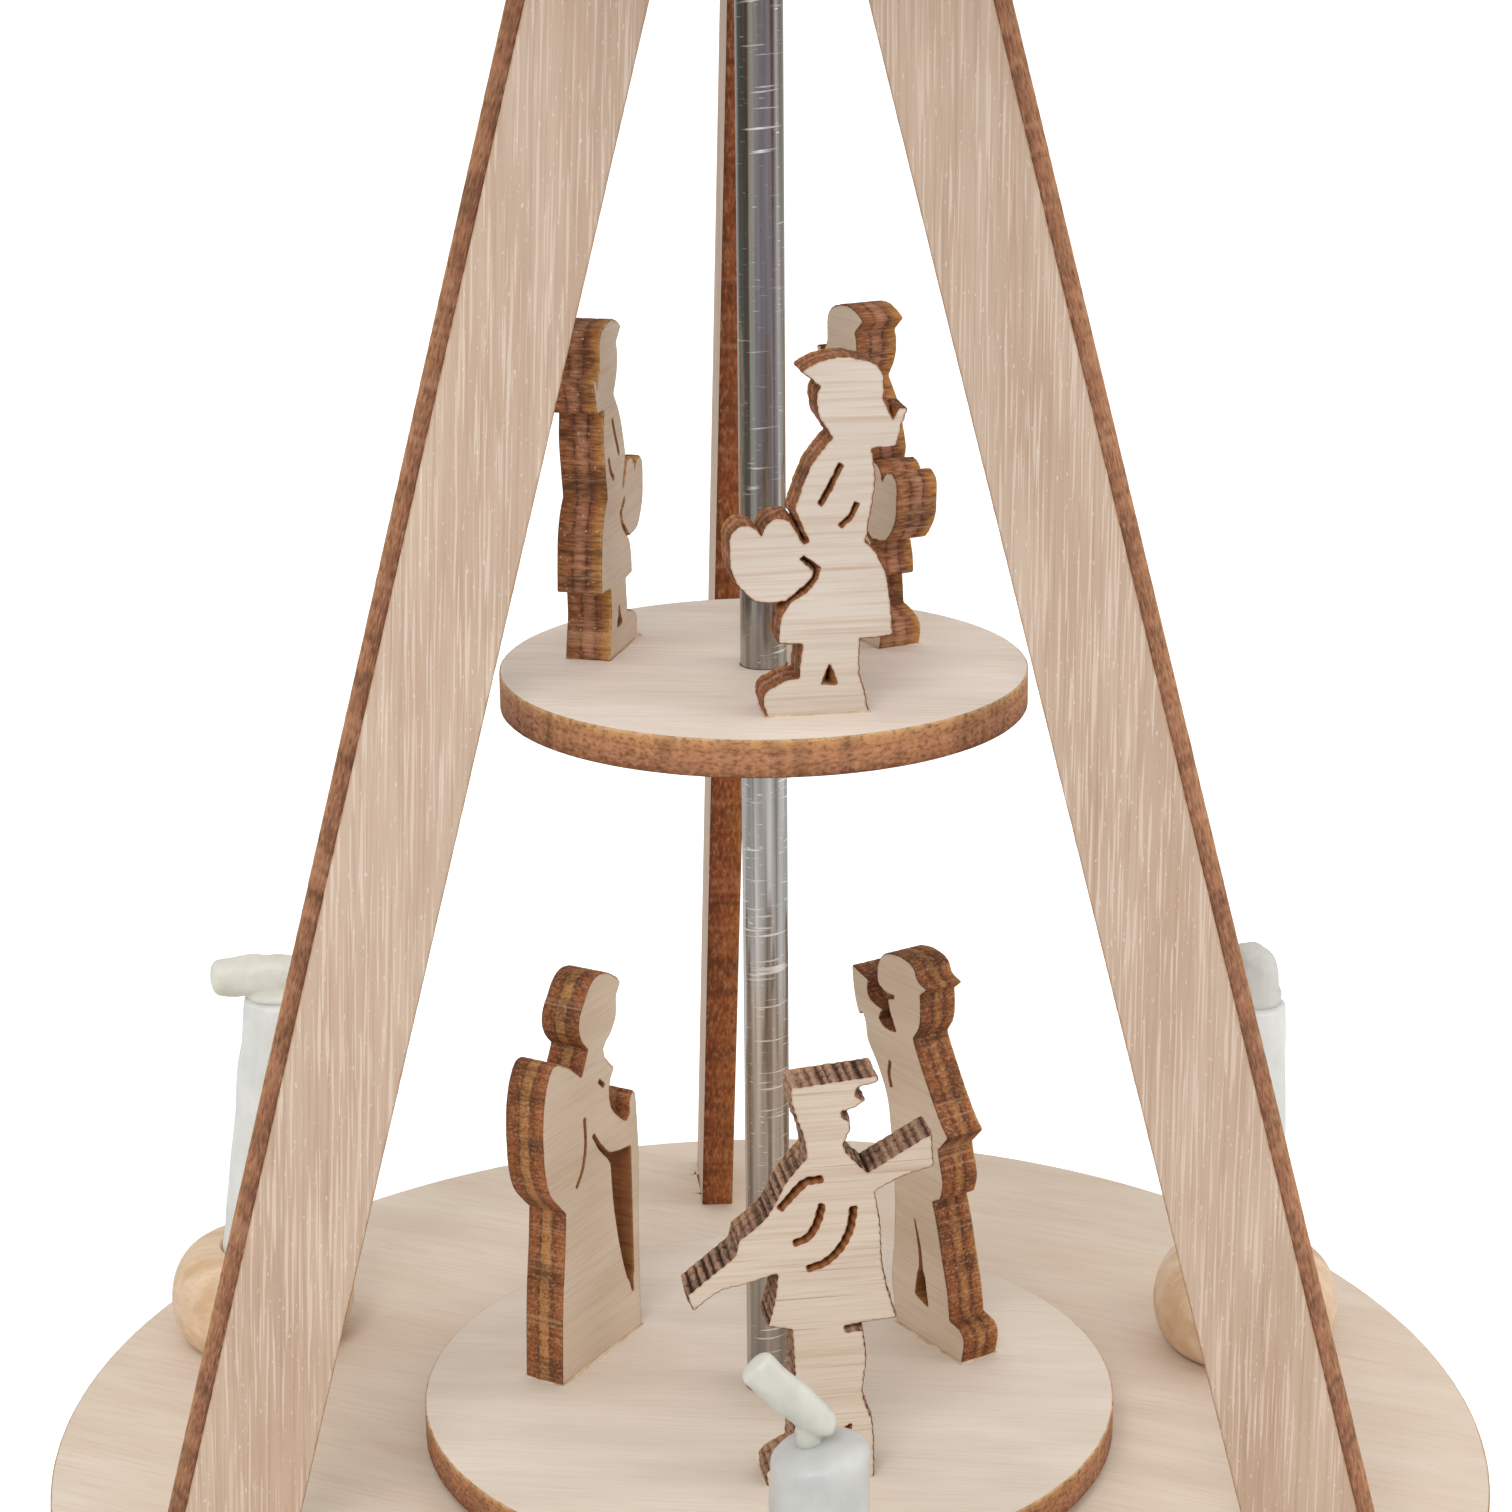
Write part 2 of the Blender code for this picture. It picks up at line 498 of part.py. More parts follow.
def make_head(group, cutters):
    """The head plate that joins the legs, and the bush in it that the spindle turns in."""
    disc = disc_mesh(HEAD_RADIUS, HEAD_BOTTOM, HEAD_TOP, PLATE_SIDES)
    head = add_piece("head_plate", disc, "birch_plywood", group)
    bore_bottom, bore_top = HEAD_BOTTOM - CUT_OVERRUN, HEAD_TOP + CUT_OVERRUN
    bore = disc_mesh(BUSH_RADIUS + SEAT_GAP, bore_bottom, bore_top, TURNED_SIDES)
    cut(head, add_cutter("head_bore_cutter", bore, (0, 0, 0), cutters))
    for name, bearing in LEG_BEARINGS.items():
        size = (TENON_WIDTH + 2 * SEAT_GAP, LEG_THICKNESS + 2 * SEAT_GAP, HEAD_THICKNESS + 2 * CUT_OVERRUN)
        place = polar(HEAD_TENON_MIDDLE, bearing, (HEAD_BOTTOM + HEAD_TOP) / 2)
        turn = math.radians(bearing)
        cut(head, add_cutter(f"{name}_head_cutter", block_mesh(size), place, cutters, turn))
    flange_bottom = HEAD_TOP + SEAT_GAP
    flange_top = flange_bottom + BUSH_FLANGE_THICKNESS
    profile = [(BUSH_BORE_RADIUS, flange_top), (BUSH_FLANGE_RADIUS, flange_top),
               (BUSH_FLANGE_RADIUS, flange_bottom), (BUSH_RADIUS, flange_bottom),
               (BUSH_RADIUS, HEAD_BOTTOM), (BUSH_BORE_RADIUS, HEAD_BOTTOM)]
    turned_piece("head_bush", profile, "brass", group, closed=True)


def make_holders(group):
    """The three turned candle holders, each a round bead with a candle socket and a peg."""
    rim_radius = SOCKET_RADIUS + HOLDER_RIM_WALL
    socket_floor = HOLDER_HEIGHT - SOCKET_DEPTH
    shoulder = arc_points(HOLDER_BELLY_RADIUS, rim_radius, HOLDER_BELLY_HEIGHT, HOLDER_HEIGHT)[::-1]
    underside = arc_points(HOLDER_BELLY_RADIUS, HOLDER_FOOT_RADIUS, HOLDER_BELLY_HEIGHT, SEAT_GAP)[1:]
    profile = [(0, socket_floor), (SOCKET_RADIUS, socket_floor), (SOCKET_RADIUS, HOLDER_HEIGHT),
               *shoulder, *underside, (HOLDER_PEG_RADIUS, SEAT_GAP),
               (HOLDER_PEG_RADIUS, -HOLDER_PEG_LENGTH), (0, -HOLDER_PEG_LENGTH)]
    for side, place in CANDLE_PLACES.items():
        holder = turned_piece(f"candle_holder_{side}", profile, "turned_beech", group)
        holder.location = polar(*place, BASE_TOP)


def tube(name, points, radius, resolution, kind, group, parent):
    """A round tube along (x, y, z, radius_share) points, with closed ends."""
    curve = bpy.data.curves.new(name, "CURVE")
    curve.dimensions = "3D"
    curve.bevel_depth = radius
    curve.bevel_resolution = resolution
    curve.use_fill_caps = True
    spline = curve.splines.new("POLY")
    spline.points.add(len(points) - 1)
    for knot, (x, y, z, share) in zip(spline.points, points):
        knot.co = (x, y, z, 1.0)
        knot.radius = share
    return add_piece(name, curve, kind, group, parent)


def smooth_course(points, steps):
    """Points of a smooth curve through the given points, as tuples."""
    ends = [points[0], *points, points[-1]]
    course = []
    for at in range(1, len(ends) - 2):
        before, start, end, after = (Vector(ends[at + offset]) for offset in (-1, 0, 1, 2))
        for step in range(steps):
            t = step / steps
            course.append((2 * start + (end - before) * t
                           + (2 * before - 5 * start + 4 * end - after) * t ** 2
                           + (3 * start - before - 3 * end + after) * t ** 3) / 2)
    return course + [Vector(points[-1])]


def make_candles(group):
    """The three candles with their wicks, each standing in its holder's socket."""
    socket_floor = HOLDER_HEIGHT - SOCKET_DEPTH + SEAT_GAP
    for side, candle in CANDLES.items():
        pivot = add_pivot(f"candle_{side}_pivot", polar(*CANDLE_PLACES[side], BASE_TOP), group)
        top, lean = CANDLE_HEIGHT * candle["height_share"], CANDLE_RADIUS * candle["lean_share"]
        shoulder = top - CANDLE_DOME_LENGTH
        points = [(0.0, 0.0, socket_floor, 1.0)]
        for share in CANDLE_BODY_SHARES:
            height = HOLDER_HEIGHT + (shoulder - HOLDER_HEIGHT) * share
            width_share = 1.0 - (1.0 - CANDLE_TAPER_SHARE) * share
            points.append((lean * share, 0.0, height, width_share))
        for rise_share, width_share in CANDLE_DOME_SHARES:
            height = shoulder + CANDLE_DOME_LENGTH * rise_share
            points.append((lean, 0.0, height, CANDLE_TAPER_SHARE * width_share))
        tube(f"candle_{side}", points, CANDLE_RADIUS, CANDLE_BEVEL_RESOLUTION, "white_wax", group, pivot)
        make_wick(side, lean, top + SEAT_GAP, pivot, group)


def make_wick(side, lean, foot, pivot, group):
    """The waxed wick that rises from a candle's top, at a lean and a height, and follows its own course."""
    reach_share, rise_share = WICK_REACH_SHARES[side]
    reach, rise = WICK_LENGTH * reach_share, WICK_LENGTH * rise_share
    knots = [(lean + reach * across, 0.0, foot + rise * up, 1.0) for across, up in WICK_COURSE_SHARES[side]]
    knots[0] = (*knots[0][:3], WICK_NECK_RADIUS / WICK_RADIUS)
    knots[-1] = (*knots[-1][:3], WICK_END_SHARE)
    points = [tuple(point) for point in smooth_course(knots, WICK_STEPS)]
    tube(f"wick_{side}", points, WICK_RADIUS, WICK_BEVEL_RESOLUTION, "white_wax", group, pivot)


def make_spindle(group, spin):
    """The steel spindle with its turned point."""
    cone_top = SPINDLE_BOTTOM + SPINDLE_POINT_LENGTH
    profile = [(0, SPINDLE_TOP), (SPINDLE_RADIUS - SPINDLE_END_CHAMFER, SPINDLE_TOP),
               (SPINDLE_RADIUS, SPINDLE_TOP - SPINDLE_END_CHAMFER), (SPINDLE_RADIUS, cone_top),
               (SPINDLE_TIP_RADIUS, SPINDLE_BOTTOM), (0, SPINDLE_BOTTOM)]
    turned_piece("spindle", profile, "bright_steel", group, spin)


def make_platform(name, radius, bottom, group, cutters, spin):
    """A round platform pressed on the spindle."""
    top = bottom + PLATFORM_THICKNESS
    platform = add_piece(name, disc_mesh(radius, bottom, top, PLATE_SIDES), "birch_plywood", group, spin)
    bore = disc_mesh(SPINDLE_RADIUS + SEAT_GAP, bottom - CUT_OVERRUN, top + CUT_OVERRUN, TURNED_SIDES)
    cut(platform, add_cutter(f"{name}_bore_cutter", bore, (0, 0, 0), cutters))


def make_figures(group, spin):
    """The flat figures that stand on the platforms, cut with their inner slots and holes."""
    carriers = {"upper": (UPPER_PLATFORM_RADIUS, UPPER_PLATFORM_TOP, UPPER_FIGURE_HEIGHT),
                "lower": (LOWER_PLATFORM_RADIUS, LOWER_PLATFORM_TOP, LOWER_FIGURE_HEIGHT)}
    for name, figure in FIGURES.items():
        outline, slots, holes = FIGURE_CUTS[figure["cut"]]
        radius, floor, height = carriers[figure["on"]]
        foot = FIGURE_FOOT_SHARES[figure["cut"]]
        curve = flat_curve(FIGURE_THICKNESS)
        add_outline(curve, [((x - foot) * height, y * height, is_round) for x, y, is_round in outline])
        for slot in slots:
            course = [Vector(((x - foot) * height, y * height)) for x, y in slot]
            sides = slot_outline(course, SAW_SLOT_WIDTH)
            add_outline(curve, [(point.x, point.y, False) for point in sides])
        for hole in holes:
            add_outline(curve, [((x - foot) * height, y * height, False) for x, y in hole])
        piece = add_piece(name, curve, "birch_plywood", group, spin)
        piece.location = polar(radius * figure["distance_share"], figure["bearing"], floor + SEAT_GAP)
        piece.rotation_euler = (math.pi / 2, 0, math.radians(figure["bearing"] + figure["turn"]))


def make_rotor(group, cutters, rotor):
    """The rotor: a turned hub with a blind bore and slanted slots, and the blades in them."""
    bottom, top = HUB_BOTTOM, HUB_BOTTOM + HUB_HEIGHT
    upper = arc_points(HUB_RADIUS, HUB_RADIUS - HUB_ROUNDING, top - HUB_ROUNDING, top)[::-1]
    lower = arc_points(HUB_RADIUS, HUB_RADIUS - HUB_ROUNDING, bottom + HUB_ROUNDING, bottom)
    bore_radius = SPINDLE_RADIUS + SEAT_GAP
    bore_top = bottom + HUB_BORE_DEPTH
    profile = [(0, top), *upper, *lower, (bore_radius, bottom), (bore_radius, bore_top), (0, bore_top)]
    hub = turned_piece("rotor_hub", profile, "turned_beech", group, rotor)
    middle = (bottom + top) / 2
    pitch = math.radians(BLADE_PITCH)
    seat = HUB_RADIUS - BLADE_SEAT_DEPTH
    slot_length = BLADE_SEAT_DEPTH + SEAT_GAP + CUT_OVERRUN
    slot_size = (slot_length, BLADE_ROOT_WIDTH + 2 * SEAT_GAP, BLADE_THICKNESS + 2 * SEAT_GAP)
    slot_mesh = block_mesh(slot_size)
    for count in range(BLADE_COUNT):
        bearing = 360.0 * (count + BLADE_FIRST_SHARE) / BLADE_COUNT
        angle = math.radians(bearing)
        place = polar(seat - SEAT_GAP + slot_length / 2, bearing, middle)
        cut(hub, add_cutter(f"blade_{count + 1}_slot_cutter", slot_mesh, place, cutters, angle, pitch))
        curve = flat_curve(BLADE_THICKNESS)
        add_outline(curve, blade_outline())
        blade = add_piece(f"blade_{count + 1}", curve, "birch_plywood", group, rotor)
        blade.location = polar(seat, bearing, middle)
        blade.rotation_euler = (pitch, 0, angle)


def blade_outline():
    """A blade from its seat outwards: a straight tongue, then a widening paddle with a rounded end."""
    length = BLADE_TIP_RADIUS - HUB_RADIUS + BLADE_SEAT_DEPTH
    shoulder = BLADE_SEAT_DEPTH + SEAT_GAP + (length - BLADE_SEAT_DEPTH) * BLADE_SHOULDER_SHARE
    root, tip = BLADE_ROOT_WIDTH / 2, BLADE_TIP_WIDTH / 2
    corner = tip * BLADE_CORNER_SHARE
    half = [(0.0, root, False), (BLADE_SEAT_DEPTH + SEAT_GAP, root, False),
            (shoulder, root + (tip - root) * BLADE_SHOULDER_WIDTH_SHARE, True),
            (length - 2 * corner, tip, True), (length - corner / 2, tip - corner / 2, True),
            (length, tip - 2 * corner, True)]
    return [(x, -y, is_round) for x, y, is_round in half] + half[::-1]


def main():
    """Build the whole carousel."""
    clear_scene()
    group = new_collection(OBJECT_NAME)
    cutters = new_collection(CUTTER_COLLECTION_NAME)
    spin = add_pivot("carousel_pivot", (0, 0, 0), group)
    rotor = add_pivot("rotor_pivot", (0, 0, 0), group, spin)
    make_base(group, cutters)
    make_cup(group)
    make_legs(group)
    make_head(group, cutters)
    make_holders(group)
    make_candles(group)
    make_spindle(group, spin)
    make_platform("lower_platform", LOWER_PLATFORM_RADIUS, LOWER_PLATFORM_BOTTOM, group, cutters, spin)
    make_platform("upper_platform", UPPER_PLATFORM_RADIUS, UPPER_PLATFORM_BOTTOM, group, cutters, spin)
    make_figures(group, spin)
    make_rotor(group, cutters, rotor)
    for piece in group.objects:
        if piece.type == "MESH":
            shade_round(piece.data)


main()
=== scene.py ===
"""Looks of a tabletop candle carousel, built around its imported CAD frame.

The plywood pieces are cut again from the outlines of their CAD nodes, with fine burnt edges; the turned,
drawn and cast pieces are made from profiles. Lengths are in millimetres unless a name or comment says metres.
"""

from __future__ import annotations

import logging
import math
from dataclasses import dataclass, field
from enum import Enum
from typing import Callable, Sequence

import bpy
import numpy as np
from mathutils import Matrix, Vector, noise
from mathutils.geometry import delaunay_2d_cdt


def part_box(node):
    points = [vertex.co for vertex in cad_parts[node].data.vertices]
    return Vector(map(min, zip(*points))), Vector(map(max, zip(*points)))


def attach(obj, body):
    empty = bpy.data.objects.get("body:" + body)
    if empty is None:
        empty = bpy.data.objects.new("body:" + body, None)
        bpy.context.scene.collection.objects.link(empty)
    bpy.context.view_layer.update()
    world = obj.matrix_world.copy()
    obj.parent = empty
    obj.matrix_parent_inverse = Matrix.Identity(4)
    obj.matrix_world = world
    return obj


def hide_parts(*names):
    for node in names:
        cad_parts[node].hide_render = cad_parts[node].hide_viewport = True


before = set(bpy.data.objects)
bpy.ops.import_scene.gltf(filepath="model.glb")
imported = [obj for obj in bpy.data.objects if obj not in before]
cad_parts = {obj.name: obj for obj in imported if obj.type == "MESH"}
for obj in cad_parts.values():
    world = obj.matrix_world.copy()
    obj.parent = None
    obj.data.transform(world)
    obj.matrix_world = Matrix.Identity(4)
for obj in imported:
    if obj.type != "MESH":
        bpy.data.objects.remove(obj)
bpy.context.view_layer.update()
LOG = logging.getLogger("candle_carousel")

MM = 0.001  # a millimetre in metres
WHITE = "#FFFFFF"
PHOTO_SIZE = 1512  # the width of the photograph in pixels
SENSOR_WIDTH = 36.0
SEED_STEPS = (17.3, 5.1, 1.0)  # how far one step of a seed moves a pattern along X, Y and Z
SHARP_TURN = 38.0  # the least turn, in degrees, that counts as a corner or a sharp edge
ROUND_SHARP_TURN, BEAD_SHARP_TURN, WICK_SHARP_TURN = 45.0, 60.0, 80.0  # on turned pieces, glue and wicks
TINY, TINY_AREA = 1e-9, 1e-12  # keep a division from being one by zero

# How closely the faces and cuts of a CAD node are read
WELD_DIGITS = 6  # the decimals of a metre that have to agree for two points to be one
SAME_HEIGHT = 0.02  # how near a point lies to a height that is moved
TRIED_TRIANGLES = 12  # how many of the largest triangles may name the plate's plane
PARALLEL = 0.999  # the least cosine between the normals of parallel faces
FACE_PLAY = 0.03  # how far a face's points may lie off it
SAME_LINE = 0.01  # how near a wall's lower points lie to its upper ones, seen from above
THROUGH_PLAY = 0.05  # how near the lower face a cut that goes right through ends
STRAIGHT = 1e-3  # the sine of the least turn between two sides of a cut
SAME_POINT = 1e-5  # how near two points of a cap may lie

# Rows of a plywood edge, as shares of the way from the upper face down, and the grooves at its glue lines
WALL_SHARES = (0.18, 0.3, 0.36, 0.42, 0.6, 0.66, 0.72, 0.85)
POCKET_SHARES = (0.5, 1.0)
GROOVE_SHARES = (0.36, 0.66)
GROOVE = -0.03
CALM_SHARE = 0.25  # how far in from a face the ripple is full

# The laser's marks, drawn from noise: how fast each goes along the cut, and how strong it is
MARK_RATE, MARK_SHARE = 2.3, 0.5  # finer marks among the coarse ones
FADE_RATE, FADE_LEVEL, FADE_SWING = 0.21, 0.7, 0.6  # how the regular ribs fade and swell
RIB_PUSH = 2.0  # how far the coarse marks push the ribs about, in radians
PATCH_RATE, PATCH_BURN = 0.35, 0.35  # patches of more and of less char
VALLEY_SHADE_SWING, RIB_SHADE, HOLE_LIGHTENED_SHARE = 0.42, 0.8, 0.5  # char and painted shade in the valleys, more of it with ribs, and the share of it left in holes, whose walls are painted lighter against their shade
FINE_RATE, FINE_DEPTH_RATE, FINE_SHARE = 3.1, 4.0, 0.35  # roughness along the wall and down it

# Walls that face each other across a slot: the cosines that tell it, and how far in each may move
FACING, AHEAD, CLOSED_SHARE = -0.5, 0.75, 0.47
SMOOTHED = (-2, -1, 0, 1, 2)  # the neighbours that this move is averaged over

# The numbers of the Mix node's colour sockets, which share their names with others
MIX_SHARE, MIX_UNDER, MIX_OVER, MIX_RESULT = 0, 6, 7, 2

Place = tuple[float, float, float]
Stops = tuple[tuple[float, str], ...]
Tree = bpy.types.NodeTree
Socket = bpy.types.NodeSocket
Material = bpy.types.Material
Object = bpy.types.Object


class Body(Enum):
    """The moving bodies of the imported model."""

    FRAME = "frame"
    CAROUSEL = "carousel"
    ROTOR = "rotor"
    FRONT_CANDLE = "front_candle"
    LEFT_CANDLE = "left_candle"
    RIGHT_CANDLE = "right_candle"


class Slot(Enum):
    """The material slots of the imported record."""

    PLYWOOD = "birch_plywood"
    FIGURE_PLYWOOD = "figure_plywood"
    BLADE_PLYWOOD = "blade_plywood"
    TURNED_WOOD = "turned_wood"
    STEEL = "bright_steel"
    BRASS = "brass"
    WAX = "candle_wax"
    WICK = "wick_wax"


def linear_colour(code: str) -> tuple[float, float, float, float]:
    """Turn an sRGB hex colour into linear light.

    Args:
        code: The colour as #RRGGBB.

    Returns:
        Red, green, blue and an alpha of one, in linear light.
    """
    parts = [int(code[at:at + 2], 16) / 255 for at in (1, 3, 5)]
    linear = [value / 12.92 if value <= 0.04045 else ((value + 0.055) / 1.055) ** 2.4 for value in parts]
    return (*linear, 1.0)


def add_node(tree: Tree, kind: str, inputs: dict | None = None, links: dict | None = None,
             stops: Stops = (), **settings: object) -> bpy.types.Node:
    """Add a node to a tree.

    Args:
        tree: The node tree.
        kind: The node's type name.
        inputs: Values of its own sockets, by name or number.
        links: Sockets that feed it, by the name or number of the socket they feed.
        stops: Places and hex colours of a colour ramp.
        settings: The node's own properties.

    Returns:
        The new node.
    """
    node = tree.nodes.new(kind)
    for name, value in settings.items():
        setattr(node, name, value)
    for socket, value in (inputs or {}).items():
        node.inputs[socket].default_value = value
    for socket, source in (links or {}).items():
        tree.links.new(source, node.inputs[socket])
    if stops:
        ramp = node.color_ramp
        while len(ramp.elements) < len(stops):
            ramp.elements.new(1.0)
        for element, (place, code) in zip(ramp.elements, stops):
            element.position = place
            element.color = linear_colour(code)
    return node


def empty_material(name: str) -> tuple[Material, Tree]:
    """Make a node material with an empty tree.

    Args:
        name: The material's name.

    Returns:
        The material and its tree.
    """
    material = bpy.data.materials.new(name)
    material.use_nodes = True
    material.node_tree.nodes.clear()
    return material, material.node_tree


def start_finish(name: str) -> tuple[Material, Tree, Socket]:
    """Start the material of a finish.

    Args:
        name: The material's name.

    Returns:
        The material, its tree, and a socket with the piece's own coordinates in millimetres.
    """
    material, tree = empty_material(name)
    place = add_node(tree, "ShaderNodeTexCoord")
    scaled = add_node(tree, "ShaderNodeVectorMath", {1: (1 / MM,) * 3}, {0: place.outputs["Object"]},
                      operation="MULTIPLY")
    return material, tree, scaled.outputs[0]


def stretched_noise(tree: Tree, place: Socket, size: Sequence[float], seed: float,
                    detail: float = 2.0) -> Socket:
    """Add a pattern whose grains have a real size along each of the piece's axes.

    Args:
        tree: The node tree.
        place: The piece's coordinates in millimetres.
        size: The size of a grain along X, Y and Z.
        seed: A shift that makes each piece's pattern its own.
        detail: How much finer noise is laid on it.

    Returns:
        The pattern, from 0 to 1.
    """
    mapping = add_node(tree, "ShaderNodeMapping",
                       {"Scale": tuple(1 / width for width in size),
                        "Location": tuple(seed * step for step in SEED_STEPS)}, {"Vector": place})
    cloud = add_node(tree, "ShaderNodeTexNoise", {"Scale": 1.0, "Detail": detail, "Roughness": 0.55},
                     {"Vector": mapping.outputs[0]})
    return cloud.outputs[0]


def tinted(tree: Tree, colour: Socket, tone: str, pattern: Socket, low: float, high: float,
           share: float) -> Socket:
    """Lay a tone over a colour where a pattern is strong.

    Args:
        tree: The node tree.
        colour: The colour so far.
        tone: The tone, as a hex colour.
        pattern: The pattern.
        low: The pattern's value at which the tone starts to show.
        high: The value at which it shows most; below the first one, the weak places show it.
        share: How much of it shows there.

    Returns:
        The tinted colour.
    """
    strength = add_node(tree, "ShaderNodeMapRange", {1: low, 2: high, 3: 0.0, 4: share}, {0: pattern})
    return add_node(tree, "ShaderNodeMix", {MIX_OVER: linear_colour(tone)},
                    {MIX_SHARE: strength.outputs[0], MIX_UNDER: colour}, data_type="RGBA").outputs[MIX_RESULT]


def broken_up(tree: Tree, pattern: Socket, patches: Socket, low: float, high: float, least: float = 0.0,
              most: float = 1.0) -> Socket:
    """Weaken a pattern patch by patch.

    Args:
        tree: The node tree.
        pattern: The pattern.
        patches: A second pattern that weakens it where it is low.
        low: The patches' value up to which the pattern is weakest.
        high: The value from which it is strongest.
        least: What is left of it where it is weakest.
        most: What is left of it where it is strongest.

    Returns:
        The weakened pattern.
    """
    strength = add_node(tree, "ShaderNodeMapRange", {1: low, 2: high, 3: least, 4: most}, {0: patches})
    return add_node(tree, "ShaderNodeMath", {}, {0: pattern, 1: strength.outputs[0]},
                    operation="MULTIPLY").outputs[0]


def finish_material(material: Material, tree: Tree, colour: Socket, roughness: Socket | float,
                    height: Socket, relief: float, **sockets: object) -> Material:
    """End a finish with its shader.

    Args:
        material: The material.
        tree: Its tree.
        colour: The base colour.
        roughness: The roughness, as a socket or a value.
        height: The height of the surface's relief, from 0 to 1.
        relief: The depth of the relief.
        sockets: Values of the shader's own sockets, with underscores for spaces.

    Returns:
        The finished material.
    """
    inputs = {name.replace("_", " "): value for name, value in sockets.items()}
    links = {"Base Color": colour}
    if isinstance(roughness, float):
        inputs["Roughness"] = roughness
    else:
        links["Roughness"] = roughness
    bump = add_node(tree, "ShaderNodeBump", {"Strength": 1.0, "Distance": relief * MM},
                    {"Height": height})
    links["Normal"] = bump.outputs[0]
    shader = add_node(tree, "ShaderNodeBsdfPrincipled", inputs, links)
    add_node(tree, "ShaderNodeOutputMaterial", {}, {"Surface": shader.outputs[0]})
    return material


@dataclass(frozen=True)
class BirchVeneer:
    """Sanded rotary-cut birch veneer: matt and pale, with fine fibres along the piece's X axis.

    Real birch fibres are about 0.03 mm wide. They would not show, so they are drawn 0.2 mm wide or more.

    Args:
        name: The material's name.
        light, middle: The tones of the wood's soft clouds.
        dark: The tone of the fibres.
        seed: A shift that makes each piece's wood its own.
        fibre_length, fibre_width, fibre_share: The size of a fibre, and how strongly the fibres show.
        fleck_share, fleck: How strongly pale flecks show where sanding lifted fibres, and their tone if
            they are crisp.
        band_share, band, crack_share, crack, speck_share, speck: The same for brown growth bands, fine
            cracks along the grain and short pale specks.
        scorch, scorch_share: The tone that smoke gave the faces along the cuts, and how strong it gets.
        turn: The angle between the grain and the piece's X axis, in degrees.
        cloud_size to smoke_size: The size of one grain of each pattern along the wood's grain, across
            it and through it.
    """

    name: str
    light: str = "#DDD0C2"
    middle: str = "#D0BEAC"
    dark: str = "#B99F88"
    seed: float = 0.0
    fibre_length: float = 3.2
    fibre_width: float = 0.2
    fibre_share: float = 0.5
    fleck_share: float = 0.5
    band_share: float = 0.0
    band: str = "#B08A6C"
    crack_share: float = 0.0
    crack: str = "#8A6342"
    scorch: str = "#A56F3A"
    scorch_share: float = 0.75
    turn: float = 0.0
    fleck: str | None = None
    speck_share: float = 0.0
    speck: str = "#EFE4D8"
    cloud_size: Place = (22.0, 5.0, 5.0)
    band_size: Place = (24.0, 0.62, 2.0)
    crack_size: Place = (16.0, 0.17, 0.8)
    speck_size: Place = (0.7, 0.22, 0.22)
    smoke_size: Place = (1.6, 1.6, 1.6)

    def material(self) -> Material:
        """Make the veneer's material.

        Returns:
            The material: clouds under fibres, flecks, specks, bands and cracks, smoked along the cuts.
        """
        material, tree, place = start_finish(self.name)
        place = add_node(tree, "ShaderNodeMapping", {"Rotation": (0.0, 0.0, math.radians(self.turn))},
                         {"Vector": place}).outputs[0]
        length, width = self.fibre_length, self.fibre_width
        clouds = stretched_noise(tree, place, self.cloud_size, self.seed + 1.0)
        fibres = stretched_noise(tree, place, (length, width, width), self.seed + 2.0, 3.0)
        flecks = stretched_noise(tree, place, (length * 0.6, width * 0.9, width), self.seed + 3.0, 1.0)
        colour = add_node(tree, "ShaderNodeValToRGB", {}, {0: clouds},
                          stops=((0.32, self.middle), (0.68, self.light))).outputs[0]
        colour = tinted(tree, colour, self.dark, fibres, 0.48, 0.72, self.fibre_share)
        full = 0.64 if self.fleck else 0.7
        colour = tinted(tree, colour, self.fleck or self.light, flecks, 0.56, full, self.fleck_share)
        if self.speck_share > 0.0:
            specks = stretched_noise(tree, place, self.speck_size, self.seed + 7.0, 1.0)
            colour = tinted(tree, colour, self.speck, specks, 0.69, 0.74, self.speck_share)
        if self.band_share > 0.0:
            bands = stretched_noise(tree, place, self.band_size, self.seed + 4.0)
            colour = tinted(tree, colour, self.band, bands, 0.5, 0.72, self.band_share)
        if self.crack_share > 0.0:
            cracks = stretched_noise(tree, place, self.crack_size, self.seed + 5.0, 1.0)
            colour = tinted(tree, colour, self.crack, cracks, 0.65, 0.7, self.crack_share)
        smoke = add_node(tree, "ShaderNodeAttribute", attribute_name="scorch").outputs["Fac"]
        uneven = stretched_noise(tree, place, self.smoke_size, self.seed + 6.0, 3.0)
        smoke = broken_up(tree, smoke, uneven, 0.3, 0.65, 0.15, self.scorch_share)
        colour = add_node(tree, "ShaderNodeMix", {MIX_OVER: linear_colour(self.scorch)},
                          {MIX_SHARE: smoke, MIX_UNDER: colour}, data_type="RGBA").outputs[MIX_RESULT]
        rough = add_node(tree, "ShaderNodeMapRange", {1: 0.2, 2: 0.8, 3: 0.55, 4: 0.7}, {0: fibres})
        return finish_material(material, tree, colour, rough.outputs[0], fibres, 0.03, Specular_IOR_Level=0.3)


